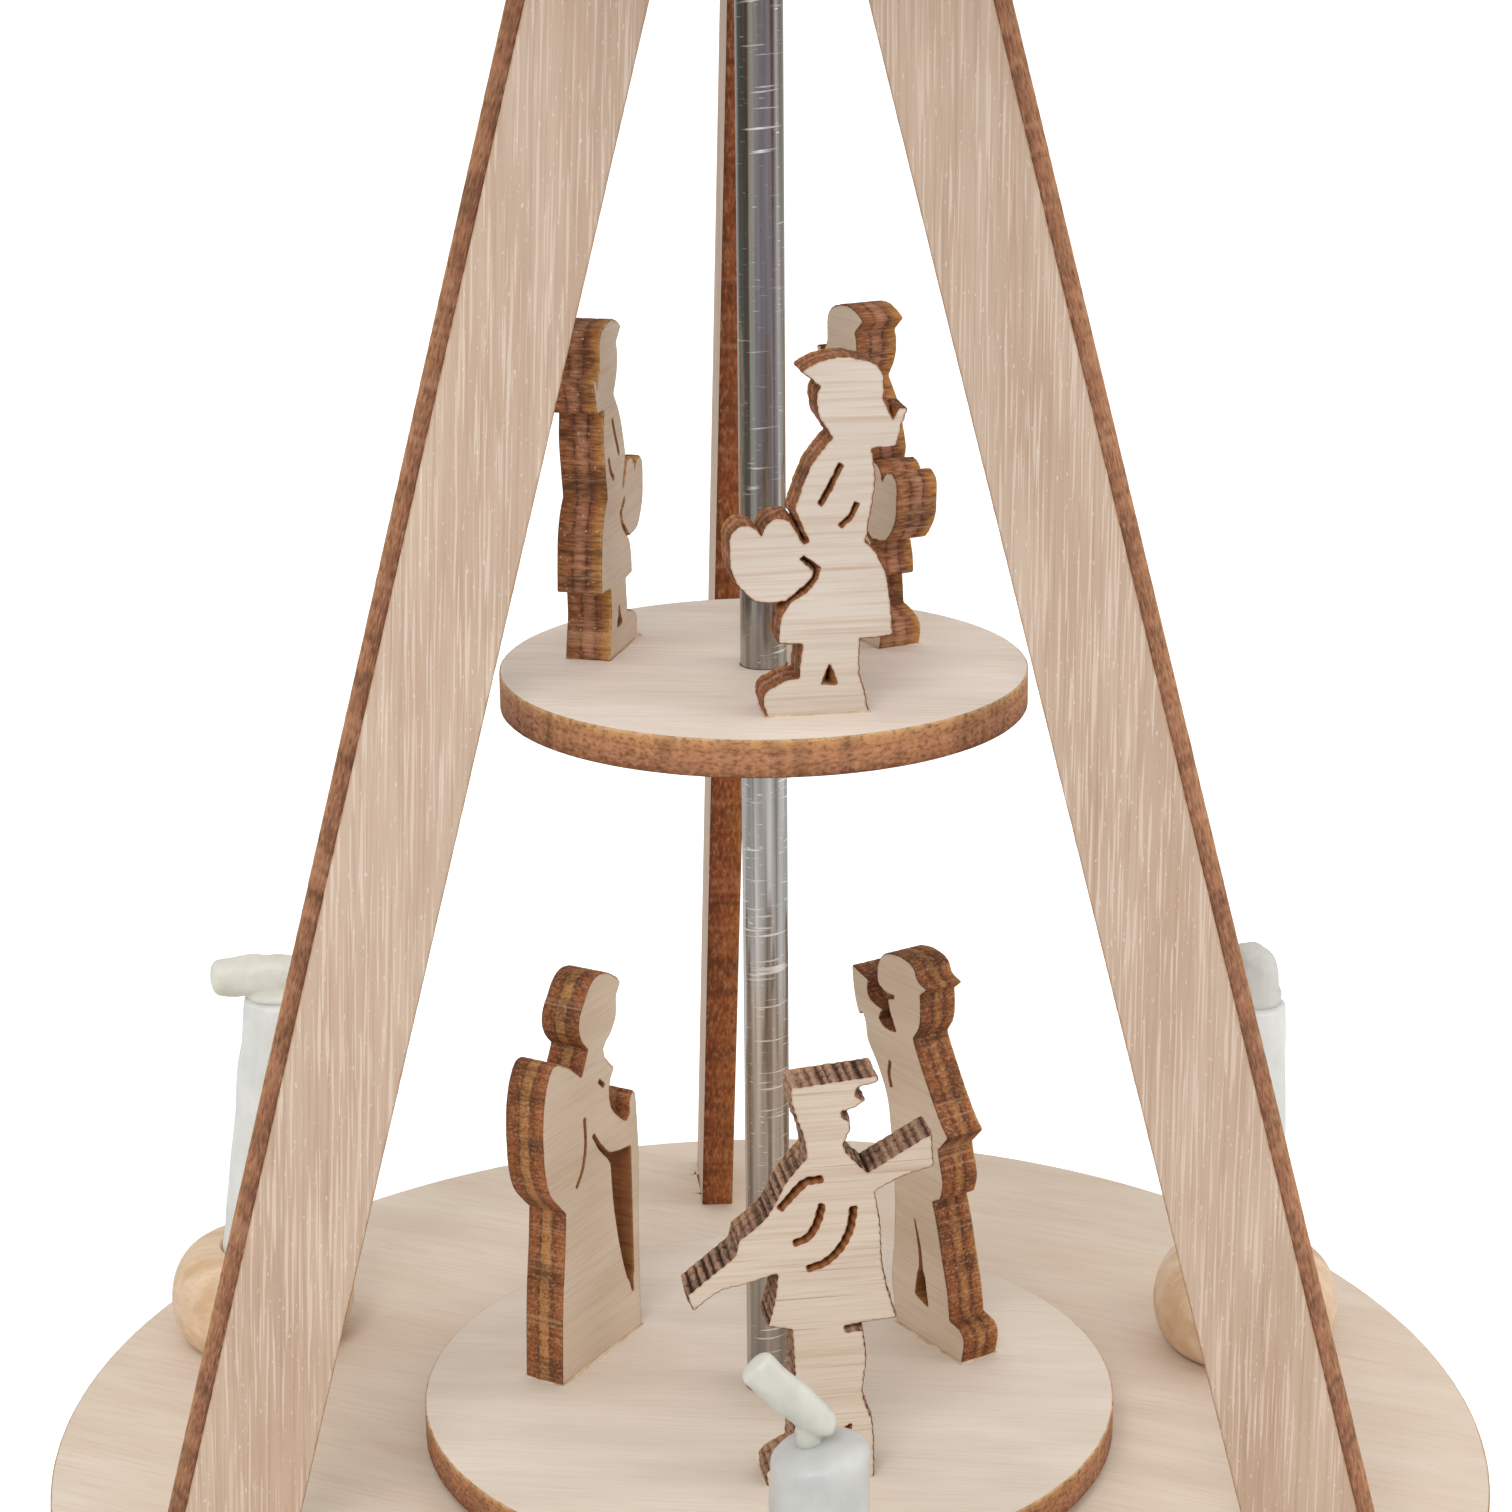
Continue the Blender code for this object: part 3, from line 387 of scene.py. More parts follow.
@dataclass(frozen=True)
class BurntEdge:
    """A laser-cut plywood edge: browned plies, broken dark glue lines, char and painted shade in the ripples'
    valleys, and a painted highlight on their crests.

    Real grains of char are some hundredths of a millimetre. They are drawn 0.2 mm wide or more to show.

    Args:
        name: The material's name.
        thickness: The plywood's thickness.
        plies: Places and colours of the plies, from the upper face at 0 to the lower at 1.
        char, wear_and_highlight: The colours of the char, also painted shade in the ripples' valleys, and of
            the ripples' crests, where the char is thin, a painted highlight there.
        line_share, char_share, crest_highlight_share, patch_share: How strongly the glue lines show, the
        valleys are
            charred and painted in shade, the crests are lightened as a painted highlight and larger patches
            are charred.
        grain, grain_share: The size of the grains of char along X, Y and Z, and how strongly they show.
        speck_share, speck: How strongly pale specks show, and their tone.
        seed: A shift that makes each piece's edge its own.
        wobble_size to speck_size: The size of a wave in the plies, a break in the glue lines, a charred
            patch and a speck.
    """

    name: str
    thickness: float
    plies: Stops = ((0.0, "#C08D55"), (0.14, "#AC7443"), (0.24, "#925A36"), (0.5, "#A87252"),
                    (0.74, "#925A36"), (1.0, "#7C4A2C"))
    char: str = "#472A19"
    wear_and_highlight: str = "#C0936E"
    line_share: float = 0.7
    char_share: float = 0.6
    crest_highlight_share: float = 0.4
    patch_share: float = 0.38
    grain: Place = (0.2, 0.2, 0.9)
    grain_share: float = 0.55
    speck_share: float = 0.0
    seed: float = 0.0
    speck: str = "#DCC6AC"
    wobble_size: Place = (1.2, 1.2, 1.2)
    break_size: Place = (0.9, 0.9, 0.9)
    patch_size: Place = (2.4, 2.4, 4.0)
    speck_size: Place = (0.4, 0.4, 0.3)

    def material(self) -> Material:
        """Make the edge's material.

        Returns:
            The material; the plies lie across the piece's Z axis, and the mesh's char_and_shading value
            blackens it with char and painted shade, and gives the ripples' crests a painted highlight where
            it is low.
        """
        material, tree, place = start_finish(self.name)
        split = add_node(tree, "ShaderNodeSeparateXYZ", {}, {0: place})
        wobble = stretched_noise(tree, place, self.wobble_size, self.seed + 1.0, 3.0)
        shift = add_node(tree, "ShaderNodeMapRange", {1: 0.2, 2: 0.8, 3: -0.04, 4: 0.04}, {0: wobble})
        level = add_node(tree, "ShaderNodeMapRange", {1: self.thickness / 2, 2: -self.thickness / 2},
                         {0: split.outputs[2]})
        across = add_node(tree, "ShaderNodeMath", {}, {0: level.outputs[0], 1: shift.outputs[0]},
                          operation="ADD").outputs[0]
        colour = add_node(tree, "ShaderNodeValToRGB", {}, {0: across}, stops=self.plies).outputs[0]
        # White where the two glue lines lie, at a third and at two thirds of the thickness
        lines = add_node(tree, "ShaderNodeValToRGB", {}, {0: across},
                         stops=((0.28, "#000000"), (0.34, "#FFFFFF"), (0.4, "#000000"), (0.6, "#000000"),
                                (0.66, "#FFFFFF"), (0.72, "#000000"))).outputs[0]
        breaks = stretched_noise(tree, place, self.break_size, self.seed + 2.0)
        lines = broken_up(tree, lines, breaks, 0.35, 0.6, 0.25, self.line_share)
        colour = add_node(tree, "ShaderNodeMix", {MIX_OVER: linear_colour(self.char)},
                          {MIX_SHARE: lines, MIX_UNDER: colour}, data_type="RGBA").outputs[MIX_RESULT]
        patches = stretched_noise(tree, place, self.patch_size, self.seed + 3.0)
        colour = tinted(tree, colour, self.char, patches, 0.49, 0.66, self.patch_share)
        grains = stretched_noise(tree, place, self.grain, self.seed + 4.0)
        colour = tinted(tree, colour, self.char, grains, 0.5, 0.68, self.grain_share)
        colour = tinted(tree, colour, self.wear_and_highlight, grains, 0.47, 0.32, 0.7 * self.grain_share)
        if self.speck_share > 0.0:
            specks = stretched_noise(tree, place, self.speck_size, self.seed + 5.0, 1.0)
            colour = tinted(tree, colour, self.speck, specks, 0.7, 0.74, self.speck_share)
        char_and_shading = add_node(tree, "ShaderNodeAttribute", attribute_name="char_and_shading").outputs["Fac"]
        # High values char the edge and paint shade in the ripples' valleys; low ones paint a highlight on
        # their crests.
        colour = tinted(tree, colour, self.char, char_and_shading, 0.55, 0.95, self.char_share)
        colour = tinted(tree, colour, self.wear_and_highlight, char_and_shading, 0.42, 0.08, self.crest_highlight_share)
        return finish_material(material, tree, colour, 0.75, grains, 0.05, Specular_IOR_Level=0.25)


@dataclass(frozen=True)
class TurnedBeech:
    """Turned and oiled beech: warm tan, with short dark flecks along the grain and fine tool rings.

    The flecks have about the real size, and the grain runs across the piece, as when a plank is turned.

    Args:
        name: The material's name.
        light, dark: The tones of its bands.
        seed: A shift that makes each piece's wood its own.
        fleck: The tone of the flecks.
        band_size, fleck_size: The size of a band and of a fleck.
        ring_size: The size of a tool ring, drawn wider than a tool's real feed so that it shows.
    """

    name: str
    light: str = "#E6CCAE"
    dark: str = "#D2AF89"
    seed: float = 0.0
    fleck: str = "#B38859"
    band_size: Place = (40.0, 1.6, 2.2)
    fleck_size: Place = (2.4, 0.22, 0.3)
    ring_size: Place = (40.0, 40.0, 0.22)

    def material(self) -> Material:
        """Make the beech's material.

        Returns:
            The material, half gloss from its oil.
        """
        material, tree, place = start_finish(self.name)
        bands = stretched_noise(tree, place, self.band_size, self.seed + 1.0)
        flecks = stretched_noise(tree, place, self.fleck_size, self.seed + 2.0)
        rings = stretched_noise(tree, place, self.ring_size, self.seed + 3.0, 1.0)
        colour = add_node(tree, "ShaderNodeValToRGB", {}, {0: bands},
                          stops=((0.3, self.dark), (0.7, self.light))).outputs[0]
        colour = tinted(tree, colour, self.fleck, flecks, 0.58, 0.74, 0.4)
        return finish_material(material, tree, colour, 0.42, rings, 0.02, Specular_IOR_Level=0.45)


@dataclass(frozen=True)
class DrawnSteel:
    """Bright drawn steel rod: long dark draw streaks, with rings and nicks from the chuck, painted near white
    as a glint.

    Real draw lines are a few thousandths of a millimetre wide; they are drawn 0.9 mm wide to show as streaks.

    Args:
        name: The material's name.
        light, middle, dark: The tones of the streaks.
        seed: A shift that makes the rod's marks its own.
        mark_and_glint: The near-white tone of the rings and nicks, partly their own and partly a painted
            glint.
        streak_size, ring_size, patch_size, nick_size: The size of a streak, a ring, a patch of rings, a nick.
        ring_tilt: How far the rings are tilted about X, Y and Z, in radians.
    """

    name: str
    light: str = "#CFCCC8"
    middle: str = "#ACA9A5"
    dark: str = "#8E8A86"
    seed: float = 0.0
    mark_and_glint: str = "#FAF9F7"
    streak_size: Place = (0.9, 0.9, 55.0)
    ring_size: Place = (5.0, 5.0, 0.34)
    patch_size: Place = (5.0, 5.0, 16.0)
    nick_size: Place = (1.1, 1.1, 0.16)
    ring_tilt: Place = (0.05, 0.09, 0.0)

    def material(self) -> Material:
        """Make the steel's material.

        Returns:
            The material; streaks run along the rod and rings go round it.
        """
        material, tree, place = start_finish(self.name)
        tilted = add_node(tree, "ShaderNodeMapping", {"Rotation": self.ring_tilt}, {"Vector": place})
        streaks = stretched_noise(tree, place, self.streak_size, self.seed + 1.0)
        rings = stretched_noise(tree, tilted.outputs[0], self.ring_size, self.seed + 2.0, 1.0)
        patches = stretched_noise(tree, place, self.patch_size, self.seed + 3.0, 1.0)
        nicks = stretched_noise(tree, place, self.nick_size, self.seed + 4.0, 1.0)
        colour = add_node(tree, "ShaderNodeValToRGB", {}, {0: streaks},
                          stops=((0.32, self.dark), (0.5, self.middle), (0.66, self.light))).outputs[0]
        sharp_rings = add_node(tree, "ShaderNodeMapRange", {1: 0.64, 2: 0.7}, {0: rings}).outputs[0]
        marks = broken_up(tree, sharp_rings, patches, 0.4, 0.55)
        # The rings and nicks are painted near white, a painted glint on top of their real roughness.
        colour = add_node(tree, "ShaderNodeMix", {MIX_OVER: linear_colour(self.mark_and_glint)},
                          {MIX_SHARE: marks, MIX_UNDER: colour}, data_type="RGBA").outputs[MIX_RESULT]
        colour = tinted(tree, colour, self.mark_and_glint, nicks, 0.69, 0.75, 0.85)
        rough = add_node(tree, "ShaderNodeMapRange", {3: 0.2, 4: 0.5}, {0: marks}).outputs[0]
        return finish_material(material, tree, colour, rough, marks, 0.01, Metallic=1.0)


@dataclass(frozen=True)
class TurnedBrass:
    """Turned brass, left bare: yellow, with soft stains and fine tool rings.

    The rings are drawn 0.2 mm apart, wider than a tool's real feed, so that they show.

    Args:
        name: The material's name.
        light, dark: The clean and the stained tone.
        ring_size, stain_size: The size of a tool ring and of a stain.
    """

    name: str = "turned_brass"
    light: str = "#D9B56A"
    dark: str = "#A98342"
    ring_size: Place = (30.0, 30.0, 0.2)
    stain_size: Place = (1.5, 1.5, 1.5)

    def material(self) -> Material:
        """Make the brass's material.

        Returns:
            The material, smooth enough for soft reflections.
        """
        material, tree, place = start_finish(self.name)
        rings = stretched_noise(tree, place, self.ring_size, 1.0)
        stains = stretched_noise(tree, place, self.stain_size, 2.0, 3.0)
        colour = add_node(tree, "ShaderNodeValToRGB", {}, {0: stains},
                          stops=((0.3, self.dark), (0.7, self.light))).outputs[0]
        return finish_material(material, tree, colour, 0.3, rings, 0.01, Metallic=1.0)


@dataclass(frozen=True)
class ParaffinWax:
    """White cast paraffin wax: milky, with light that sinks in, a faint cloudy bloom and soft dents.

    Args:
        name: The material's name.
        colour: The tone of the clear wax.
        cloud: The tone of the bloom on it.
        depth: How deep light sinks in.
        seed: A shift that makes each piece's bloom its own.
        bloom_size, dent_size: The size of a cloud of bloom and of a dent.
    """

    name: str
    colour: str = "#CFCFCA"
    cloud: str = "#C2C3BF"
    depth: float = 2.2
    seed: float = 0.0
    bloom_size: Place = (2.4, 2.4, 3.6)
    dent_size: Place = (1.2, 1.2, 2.0)

    def material(self) -> Material:
        """Make the wax's material.

        Returns:
            The material, with paraffin's IOR and a soft shine.
        """
        material, tree, place = start_finish(self.name)
        bloom = stretched_noise(tree, place, self.bloom_size, self.seed + 1.0, 3.0)
        dents = stretched_noise(tree, place, self.dent_size, self.seed + 2.0)
        colour = add_node(tree, "ShaderNodeValToRGB", {}, {0: bloom},
                          stops=((0.35, self.colour), (0.68, self.cloud))).outputs[0]
        return finish_material(material, tree, colour, 0.34, dents, 0.05, Subsurface_Weight=0.55,
                               Subsurface_Radius=(1.0, 0.95, 0.85), Subsurface_Scale=self.depth * MM,
                               IOR=1.44, Specular_IOR_Level=0.5)


@dataclass(frozen=True)
class DriedGlue:
    """Dried wood glue, squeezed out by hand: an amber skin with a soft shine.

    Args:
        name: The material's name.
        light, dark: The tone where it is thin and where it is thick.
        pool_size: The size of a thick place.
    """

    name: str = "dried_wood_glue"
    light: str = "#D8C4A8"
    dark: str = "#B0906C"
    pool_size: Place = (1.4, 1.4, 1.4)

    def material(self) -> Material:
        """Make the glue's material.

        Returns:
            The material, with the clear coat of its skin.
        """
        material, tree, place = start_finish(self.name)
        pools = stretched_noise(tree, place, self.pool_size, 3.0)
        colour = add_node(tree, "ShaderNodeValToRGB", {}, {0: pools},
                          stops=((0.35, self.light), (0.7, self.dark))).outputs[0]
        return finish_material(material, tree, colour, 0.28, pools, 0.04, Coat_Weight=0.4)


def node_points(name: str) -> tuple[np.ndarray, np.ndarray]:
    """Read a CAD node's welded points and triangles.

    Args:
        name: The node.

    Returns:
        Its points in metres and its triangles as numbers of points.
    """
    mesh = bpy.data.objects[name].data
    flat = np.empty(len(mesh.vertices) * 3, np.float64)
    mesh.vertices.foreach_get("co", flat)
    mesh.calc_loop_triangles()
    corners = np.empty(len(mesh.loop_triangles) * 3, np.int32)
    mesh.loop_triangles.foreach_get("vertices", corners)
    points, same = np.unique(np.round(flat.reshape(-1, 3), WELD_DIGITS), axis=0, return_inverse=True)
    return points, same.reshape(-1)[corners].reshape(-1, 3)


def chained(edges: Sequence[tuple[int, int]]) -> list[list[int]]:
    """Join directed edges into closed loops.

    Args:
        edges: Pairs of point numbers, each from its start to its end.

    Returns:
        The loops, as lists of point numbers.
    """
    ahead = dict(edges)
    loops = []
    while ahead:
        start, after = ahead.popitem()
        loop = [start]
        while after != start:
            loop.append(after)
            after = ahead.pop(after)
        loops.append(loop)
    return loops


@dataclass
class CutLoop:
    """One closed cut line of a plate, in the plate's own plane, with the wood on its left.

    Args:
        points: The corners.
        floor: How deep the cut goes, measured from the plate's middle plane, or None for right through.
        uneven: How many times longer a side has to be than its neighbour to set the direction alone.
        sharpest: The turn, in radians, at which the reach of a corner's arc stops growing.
        longest_reach: The share of a side that the arc may take at each end.
        longest_miter: How far a point may move at a corner when the cut moves by one.
    """

    points: np.ndarray
    floor: float | None = None
    uneven: float = 2.5
    sharpest: float = 2.6
    longest_reach: float = 0.4
    longest_miter: float = 1.4

    def eased(self, radius: float, corner_angle: float) -> tuple[np.ndarray, np.ndarray]:
        """Round the corners as a laser's spot leaves them, and find the way the cut runs at each point.

        Args:
            radius: The radius of a corner, where its sides are long enough.
            corner_angle: The least turn, in degrees, that counts as a corner.

        Returns:
            The points, with each sharp corner as a short arc, and the cut's direction at each point.
        """
        knots = self.points
        to_next = np.roll(knots, -1, axis=0) - knots
        size = np.linalg.norm(to_next, axis=1)
        to_next = to_next / size[:, None]
        places, ways = [], []
        for at, knot in enumerate(knots):
            behind, ahead, before, after = to_next[at - 1], to_next[at], size[at - 1], size[at]
            turn = math.acos(max(-1.0, min(1.0, float(behind @ ahead))))
            if math.degrees(turn) < corner_angle:
                if after > self.uneven * before:
                    way = ahead
                elif before > self.uneven * after:
                    way = behind
                else:
                    way = behind * after + ahead * before
                places.append(knot)
                ways.append(way / np.linalg.norm(way))
                continue
            reach = min(radius * math.tan(min(turn, self.sharpest) / 2), self.longest_reach * before,
                        self.longest_reach * after)
            start, end = knot - behind * reach, knot + ahead * reach
            for share in (0.0, 0.25, 0.5, 0.75, 1.0):
                places.append((1 - share) ** 2 * start + 2 * share * (1 - share) * knot + share ** 2 * end)
                way = behind * (1 - share) + ahead * share
                ways.append(way / max(np.linalg.norm(way), TINY))
        return np.array(places), np.array(ways)

    def refined(self, step: float, radius: float,
                corner_angle: float = SHARP_TURN) -> tuple[np.ndarray, np.ndarray, np.ndarray]:
        """Lay points closely along the loop, smooth where it curves and tight at its corners.

        Args:
            step: The longest distance between points.
            radius: The radius of its corners.
            corner_angle: The least turn, in degrees, that counts as a corner.

        Returns:
            The points, their directions away from the wood, and their distances along the loop.
        """
        knots, ways = self.eased(radius, corner_angle)
        length = np.linalg.norm(np.roll(knots, -1, axis=0) - knots, axis=1)
        placed = []
        for at in range(len(knots)):
            after = (at + 1) % len(knots)
            leave, arrive = ways[at], ways[after]
            count = max(1, math.ceil(length[at] / step))
            for share in np.arange(count) / count:
                cube, square = share ** 3, share ** 2
                placed.append((2 * cube - 3 * square + 1) * knots[at] + (3 * square - 2 * cube) * knots[after]
                              + length[at] * ((cube - 2 * square + share) * leave + (cube - square) * arrive))
        fine = np.array(placed)
        forward = np.roll(fine, -1, axis=0) - fine
        gaps = np.linalg.norm(forward, axis=1)
        forward = forward / np.maximum(gaps, TINY)[:, None]
        along = np.roll(forward, 1, axis=0) + forward
        size = np.linalg.norm(along, axis=1)
        along = along / np.maximum(size, TINY)[:, None]
        out = np.stack([along[:, 1], -along[:, 0]], axis=1)
        miter = np.minimum(1.0 / np.maximum(size / 2, 0.5), self.longest_miter)
        return fine, out * miter[:, None], np.concatenate([[0.0], np.cumsum(gaps)[:-1]])


@dataclass
class MeshBuild:
    """A mesh while it is made.

    Args:
        points: Its points.
        faces: The numbers of the points of each face.
        finishes: The material number of each face.
        char_and_shading_values, scorches: How charred and painted in shade a point is, with a painted
            highlight where
        it is low, and how browned by smoke it is, from 0 to 1, by its number.
    """

    points: list = field(default_factory=list)
    faces: list = field(default_factory=list)
    finishes: list = field(default_factory=list)
    char_and_shading_values: dict = field(default_factory=dict)
    scorches: dict = field(default_factory=dict)

    def add_points(self, rows: np.ndarray, char_and_shading: np.ndarray | None = None, scorch: float = 0.0) -> int:
        """Add points.

        Args:
            rows: Their places.
            char_and_shading: How charred and painted in shade each one is, from 0 to 1; low values give a
                painted
            highlight.
            scorch: How far the laser's smoke browned the face at them, from 0 to 1.

        Returns:
            The number of the first.
        """
        start = len(self.points)
        self.points.extend(map(tuple, rows))
        if char_and_shading is not None:
            self.char_and_shading_values.update(zip(range(start, len(self.points)), char_and_shading))
        if scorch > 0.0:
            self.scorches.update((number, scorch) for number in range(start, len(self.points)))
        return start

    def add_face(self, corners: Sequence[int], finish: int) -> None:
        """Add one face with a material number."""
        self.faces.append(tuple(corners))
        self.finishes.append(finish)

    def add_grid(self, start: int, rows: int, columns: int, finish: int, ring: bool = False) -> None:
        """Add the faces of a grid of points that were added row by row; each row's end joins its start.

        Args:
            start: The number of the grid's first point.
            rows: How many rows it has.
            columns: How many points a row has.
            finish: The material number.
            ring: Whether the last row joins the first one too.
        """
        for row in range(rows if ring else rows - 1):
            low, high = start + row * columns, start + (row + 1) % rows * columns
            for column in range(columns):
                after = (column + 1) % columns
                self.add_face((low + column, high + column, high + after, low + after), finish)

    def object(self, name: str, materials: Sequence[Material],
               sharp: float = SHARP_TURN) -> Object:
        """Make the object.

        Args:
            name: The piece's name.
            materials: Its materials, in the order of the material numbers.
            sharp: The least angle, in degrees, at which an edge is drawn sharp.

        Returns:
            The object, linked to the scene.
        """
        mesh = bpy.data.meshes.new(name)
        mesh.from_pydata([tuple(value * MM for value in point) for point in self.points], [], self.faces)
        for material in materials:
            mesh.materials.append(material)
        mesh.polygons.foreach_set("material_index", self.finishes)
        for kind, values, usual in (("char_and_shading", self.char_and_shading_values, 0.5), ("scorch", self.scorches, 0.0)):
            if values:
                layer = mesh.attributes.new(kind, "FLOAT", "POINT")
                layer.data.foreach_set("value", [values.get(at, usual) for at in range(len(self.points))])
        mesh.shade_smooth()
        mesh.set_sharp_from_angle(angle=math.radians(sharp))
        mesh.validate()
        piece = bpy.data.objects.new(name, mesh)
        bpy.context.scene.collection.objects.link(piece)
        return piece


def inside_loops(points: np.ndarray, loops: Sequence[np.ndarray]) -> np.ndarray:
    """Tell which points lie inside an odd number of loops.

    Args:
        points: The points to test.
        loops: Closed outlines.

    Returns:
        One truth value for each point.
    """
    inside = np.zeros(len(points), bool)
    for loop in loops:
        start, end = loop, np.roll(loop, -1, axis=0)
        for (x0, y0), (x1, y1) in zip(start, end):
            if y0 == y1:
                continue
            spans = (points[:, 1] < y0) != (points[:, 1] < y1)
            inside ^= spans & (points[:, 0] < (x1 - x0) * (points[:, 1] - y0) / (y1 - y0) + x0)
    return inside


def fill_cap(build: MeshBuild, loops: Sequence[tuple[np.ndarray, Sequence[int]]], level: float, finish: int,
             upward: bool) -> None:
    """Fill the area between closed loops with triangles.

    Args:
        build: The mesh being made.
        loops: Each loop's flat points and their numbers in the mesh.
        level: The height of the face.
        finish: The material number.
        upward: Whether the face looks up.
    """
    flat = [Vector(point) for points, _ in loops for point in points]
    numbers = [number for _, loop in loops for number in loop]
    edges, start = [], 0
    for points, _ in loops:
        count = len(points)
        edges += [(start + at, start + (at + 1) % count) for at in range(count)]
        start += count
    found, _, triangles, origins, _, _ = delaunay_2d_cdt(flat, edges, [], 0, SAME_POINT)
    places = np.array([tuple(point) for point in found])
    mapped = [numbers[origin[0]] if origin else build.add_points(np.array([(*place, level)]))
              for origin, place in zip(origins, places)]
    middles = np.array([places[list(face)].mean(0) for face in triangles])
    keep = inside_loops(middles, [points for points, _ in loops])
    for face, kept in zip(triangles, keep):
        corners = [mapped[corner] for corner in face]
        if not kept or len(set(corners)) < 3:
            continue
        (x0, y0), (x1, y1), (x2, y2) = (places[corner] for corner in face)
        facing_up = (x1 - x0) * (y2 - y0) > (x2 - x0) * (y1 - y0)
        build.add_face(corners if facing_up == upward else corners[::-1], finish)


def hand_over(piece: Object, body: Body, slot: Slot, *nodes: str) -> Object:
    """Let a piece stand for its CAD nodes and let it ride.

    Args:
        piece: The piece.
        body: The body that it rides on.
        slot: The record's material slot; not used.
        nodes: The CAD nodes that it stands for.

    Returns:
        The piece.
    """
    if nodes:
        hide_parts(*nodes)
    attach(piece, body.value)
    LOG.info("made %s on body %s", piece.name, body.value)
    return piece


@dataclass
class PlywoodPiece:
    """A plywood piece cut by laser, made again from its CAD node with a fine edge.

    Args:
        node: The CAD node that it stands for.
        body: The body that it rides on.
        slot: The record's material slot.
        grain: The direction of the face grain in the model.
        face, edge: The veneer of both faces and the burnt edge.
        step: The distance between points along the cut.
        ripple, ripple_length: The depth of the laser's marks across the edge, and their distance.
        bevel: The width of the scorched arris.
        corner: The radius of the corners.
        tighten, snug: How much closer the holes fit than in the CAD, and four-cornered ones if it is more.
        halo: The width of the browned band on both faces along the cut; at most the corners' radius.
        ribs: How much of the ripple is regular, from 0 to 1.
        grow: How much further out the whole cut lies than in the CAD.
        inner: The finish of the slots' walls, painted lighter against the shade inside them; the edge's own
            if None.
        calm: How much of the ripple is left at the faces and in the holes.
        kerf: The widest slot whose walls lean together between the faces, as a narrow beam's cut does.
        pinch: How much of that lean there is at the faces already.
        lowered: Heights in the model whose points are moved to other heights.
        arris_burn: How much more an arris is charred than the wall beside it.
        hole_scorch: How far smoke browned the faces round a hole, of what it did along the outline.
    """

    node: str
    body: Body
    slot: Slot
    grain: Place
    face: BirchVeneer
    edge: BurntEdge
    step: float = 0.5
    ripple: float = 0.03
    ripple_length: float = 0.6
    bevel: float = 0.08
    corner: float = 0.12
    tighten: float = 0.0
    snug: float = 0.0
    halo: float = 0.1
    ribs: float = 0.0
    grow: float = 0.0
    inner: BurntEdge | None = None
    calm: float = 1.0
    kerf: float = 0.0
    pinch: float = 0.0
    lowered: dict[float, float] = field(default_factory=dict)
    arris_burn: float = 0.3
    hole_scorch: float = 0.45

    def plate(self) -> tuple[Matrix, float, list[CutLoop]]:
        """Read the plate's place, thickness and cut lines from the CAD node.

        Returns:
            The matrix from the plate's own millimetres to the model, its thickness and its cuts.
        """
        points, triangles = node_points(self.node)
        points = points / MM
        for old, new in self.lowered.items():
            points[np.abs(points[:, 2] - old) < SAME_HEIGHT, 2] = new
        corner = points[triangles]
        area = np.cross(corner[:, 1] - corner[:, 0], corner[:, 2] - corner[:, 0])
        size = np.linalg.norm(area, axis=1)
        facing = area / np.maximum(size, TINY_AREA)[:, None]
        # The plate's plane is the one that most of its surface faces; only the largest triangles are tried.
        best = max(np.argsort(size)[-TRIED_TRIANGLES:],
                   key=lambda at: size[np.abs(facing @ facing[at]) > PARALLEL].sum())
        turned = facing @ facing[best]
        both_faces = (area * np.sign(turned)[:, None])[np.abs(turned) > PARALLEL]
        normal = Vector(both_faces.sum(0)).normalized()
        if max(normal, key=abs) < 0:
            normal = -normal
        grain = Vector(self.grain)
        grain = (grain - normal * grain.dot(normal)).normalized()
        turn = Matrix((grain, normal.cross(grain), normal)).transposed()
        middle = Vector((points.max(0) + points.min(0)) / 2)
        own = (points - np.array(middle)) @ np.array(turn)
        top, bottom = own[:, 2].max(), own[:, 2].min()
        centre = (top + bottom) / 2
        own[:, 2] -= centre
        place = Matrix.Translation((middle + normal * centre) * MM) @ turn.to_4x4()
        half = (top - bottom) / 2
        cuts = []
        for loop in self.cap_loops(own, triangles[(own[triangles, 2] > half - FACE_PLAY).all(1)]):
            near = (np.linalg.norm(own[:, None, :2] - loop[None], axis=2) < SAME_LINE).any(1)
            floor = own[near, 2].min()
            cuts.append(CutLoop(loop, None if floor < THROUGH_PLAY - half else floor))
        return place, top - bottom, cuts

    @staticmethod
    def cap_loops(own: np.ndarray, triangles: np.ndarray) -> list[np.ndarray]:
        """Find the edge loops of a flat face.

        Args:
            own: The plate's points.
            triangles: The triangles of the face.

        Returns:
            The flat points of each loop, without the points that lie on its straight stretches.
        """
        edges = {(int(face[at]), int(face[(at + 1) % 3])) for face in triangles for at in range(3)}
        loops = []
        for loop in chained([edge for edge in edges if (edge[1], edge[0]) not in edges]):
            flat = own[loop, :2]
            ahead = np.roll(flat, -1, axis=0) - flat
            behind = flat - np.roll(flat, 1, axis=0)
            cross = np.abs(behind[:, 0] * ahead[:, 1] - behind[:, 1] * ahead[:, 0])
            bend = cross / (np.linalg.norm(ahead, axis=1) * np.linalg.norm(behind, axis=1))
            loops.append(flat[bend > STRAIGHT])
        return loops

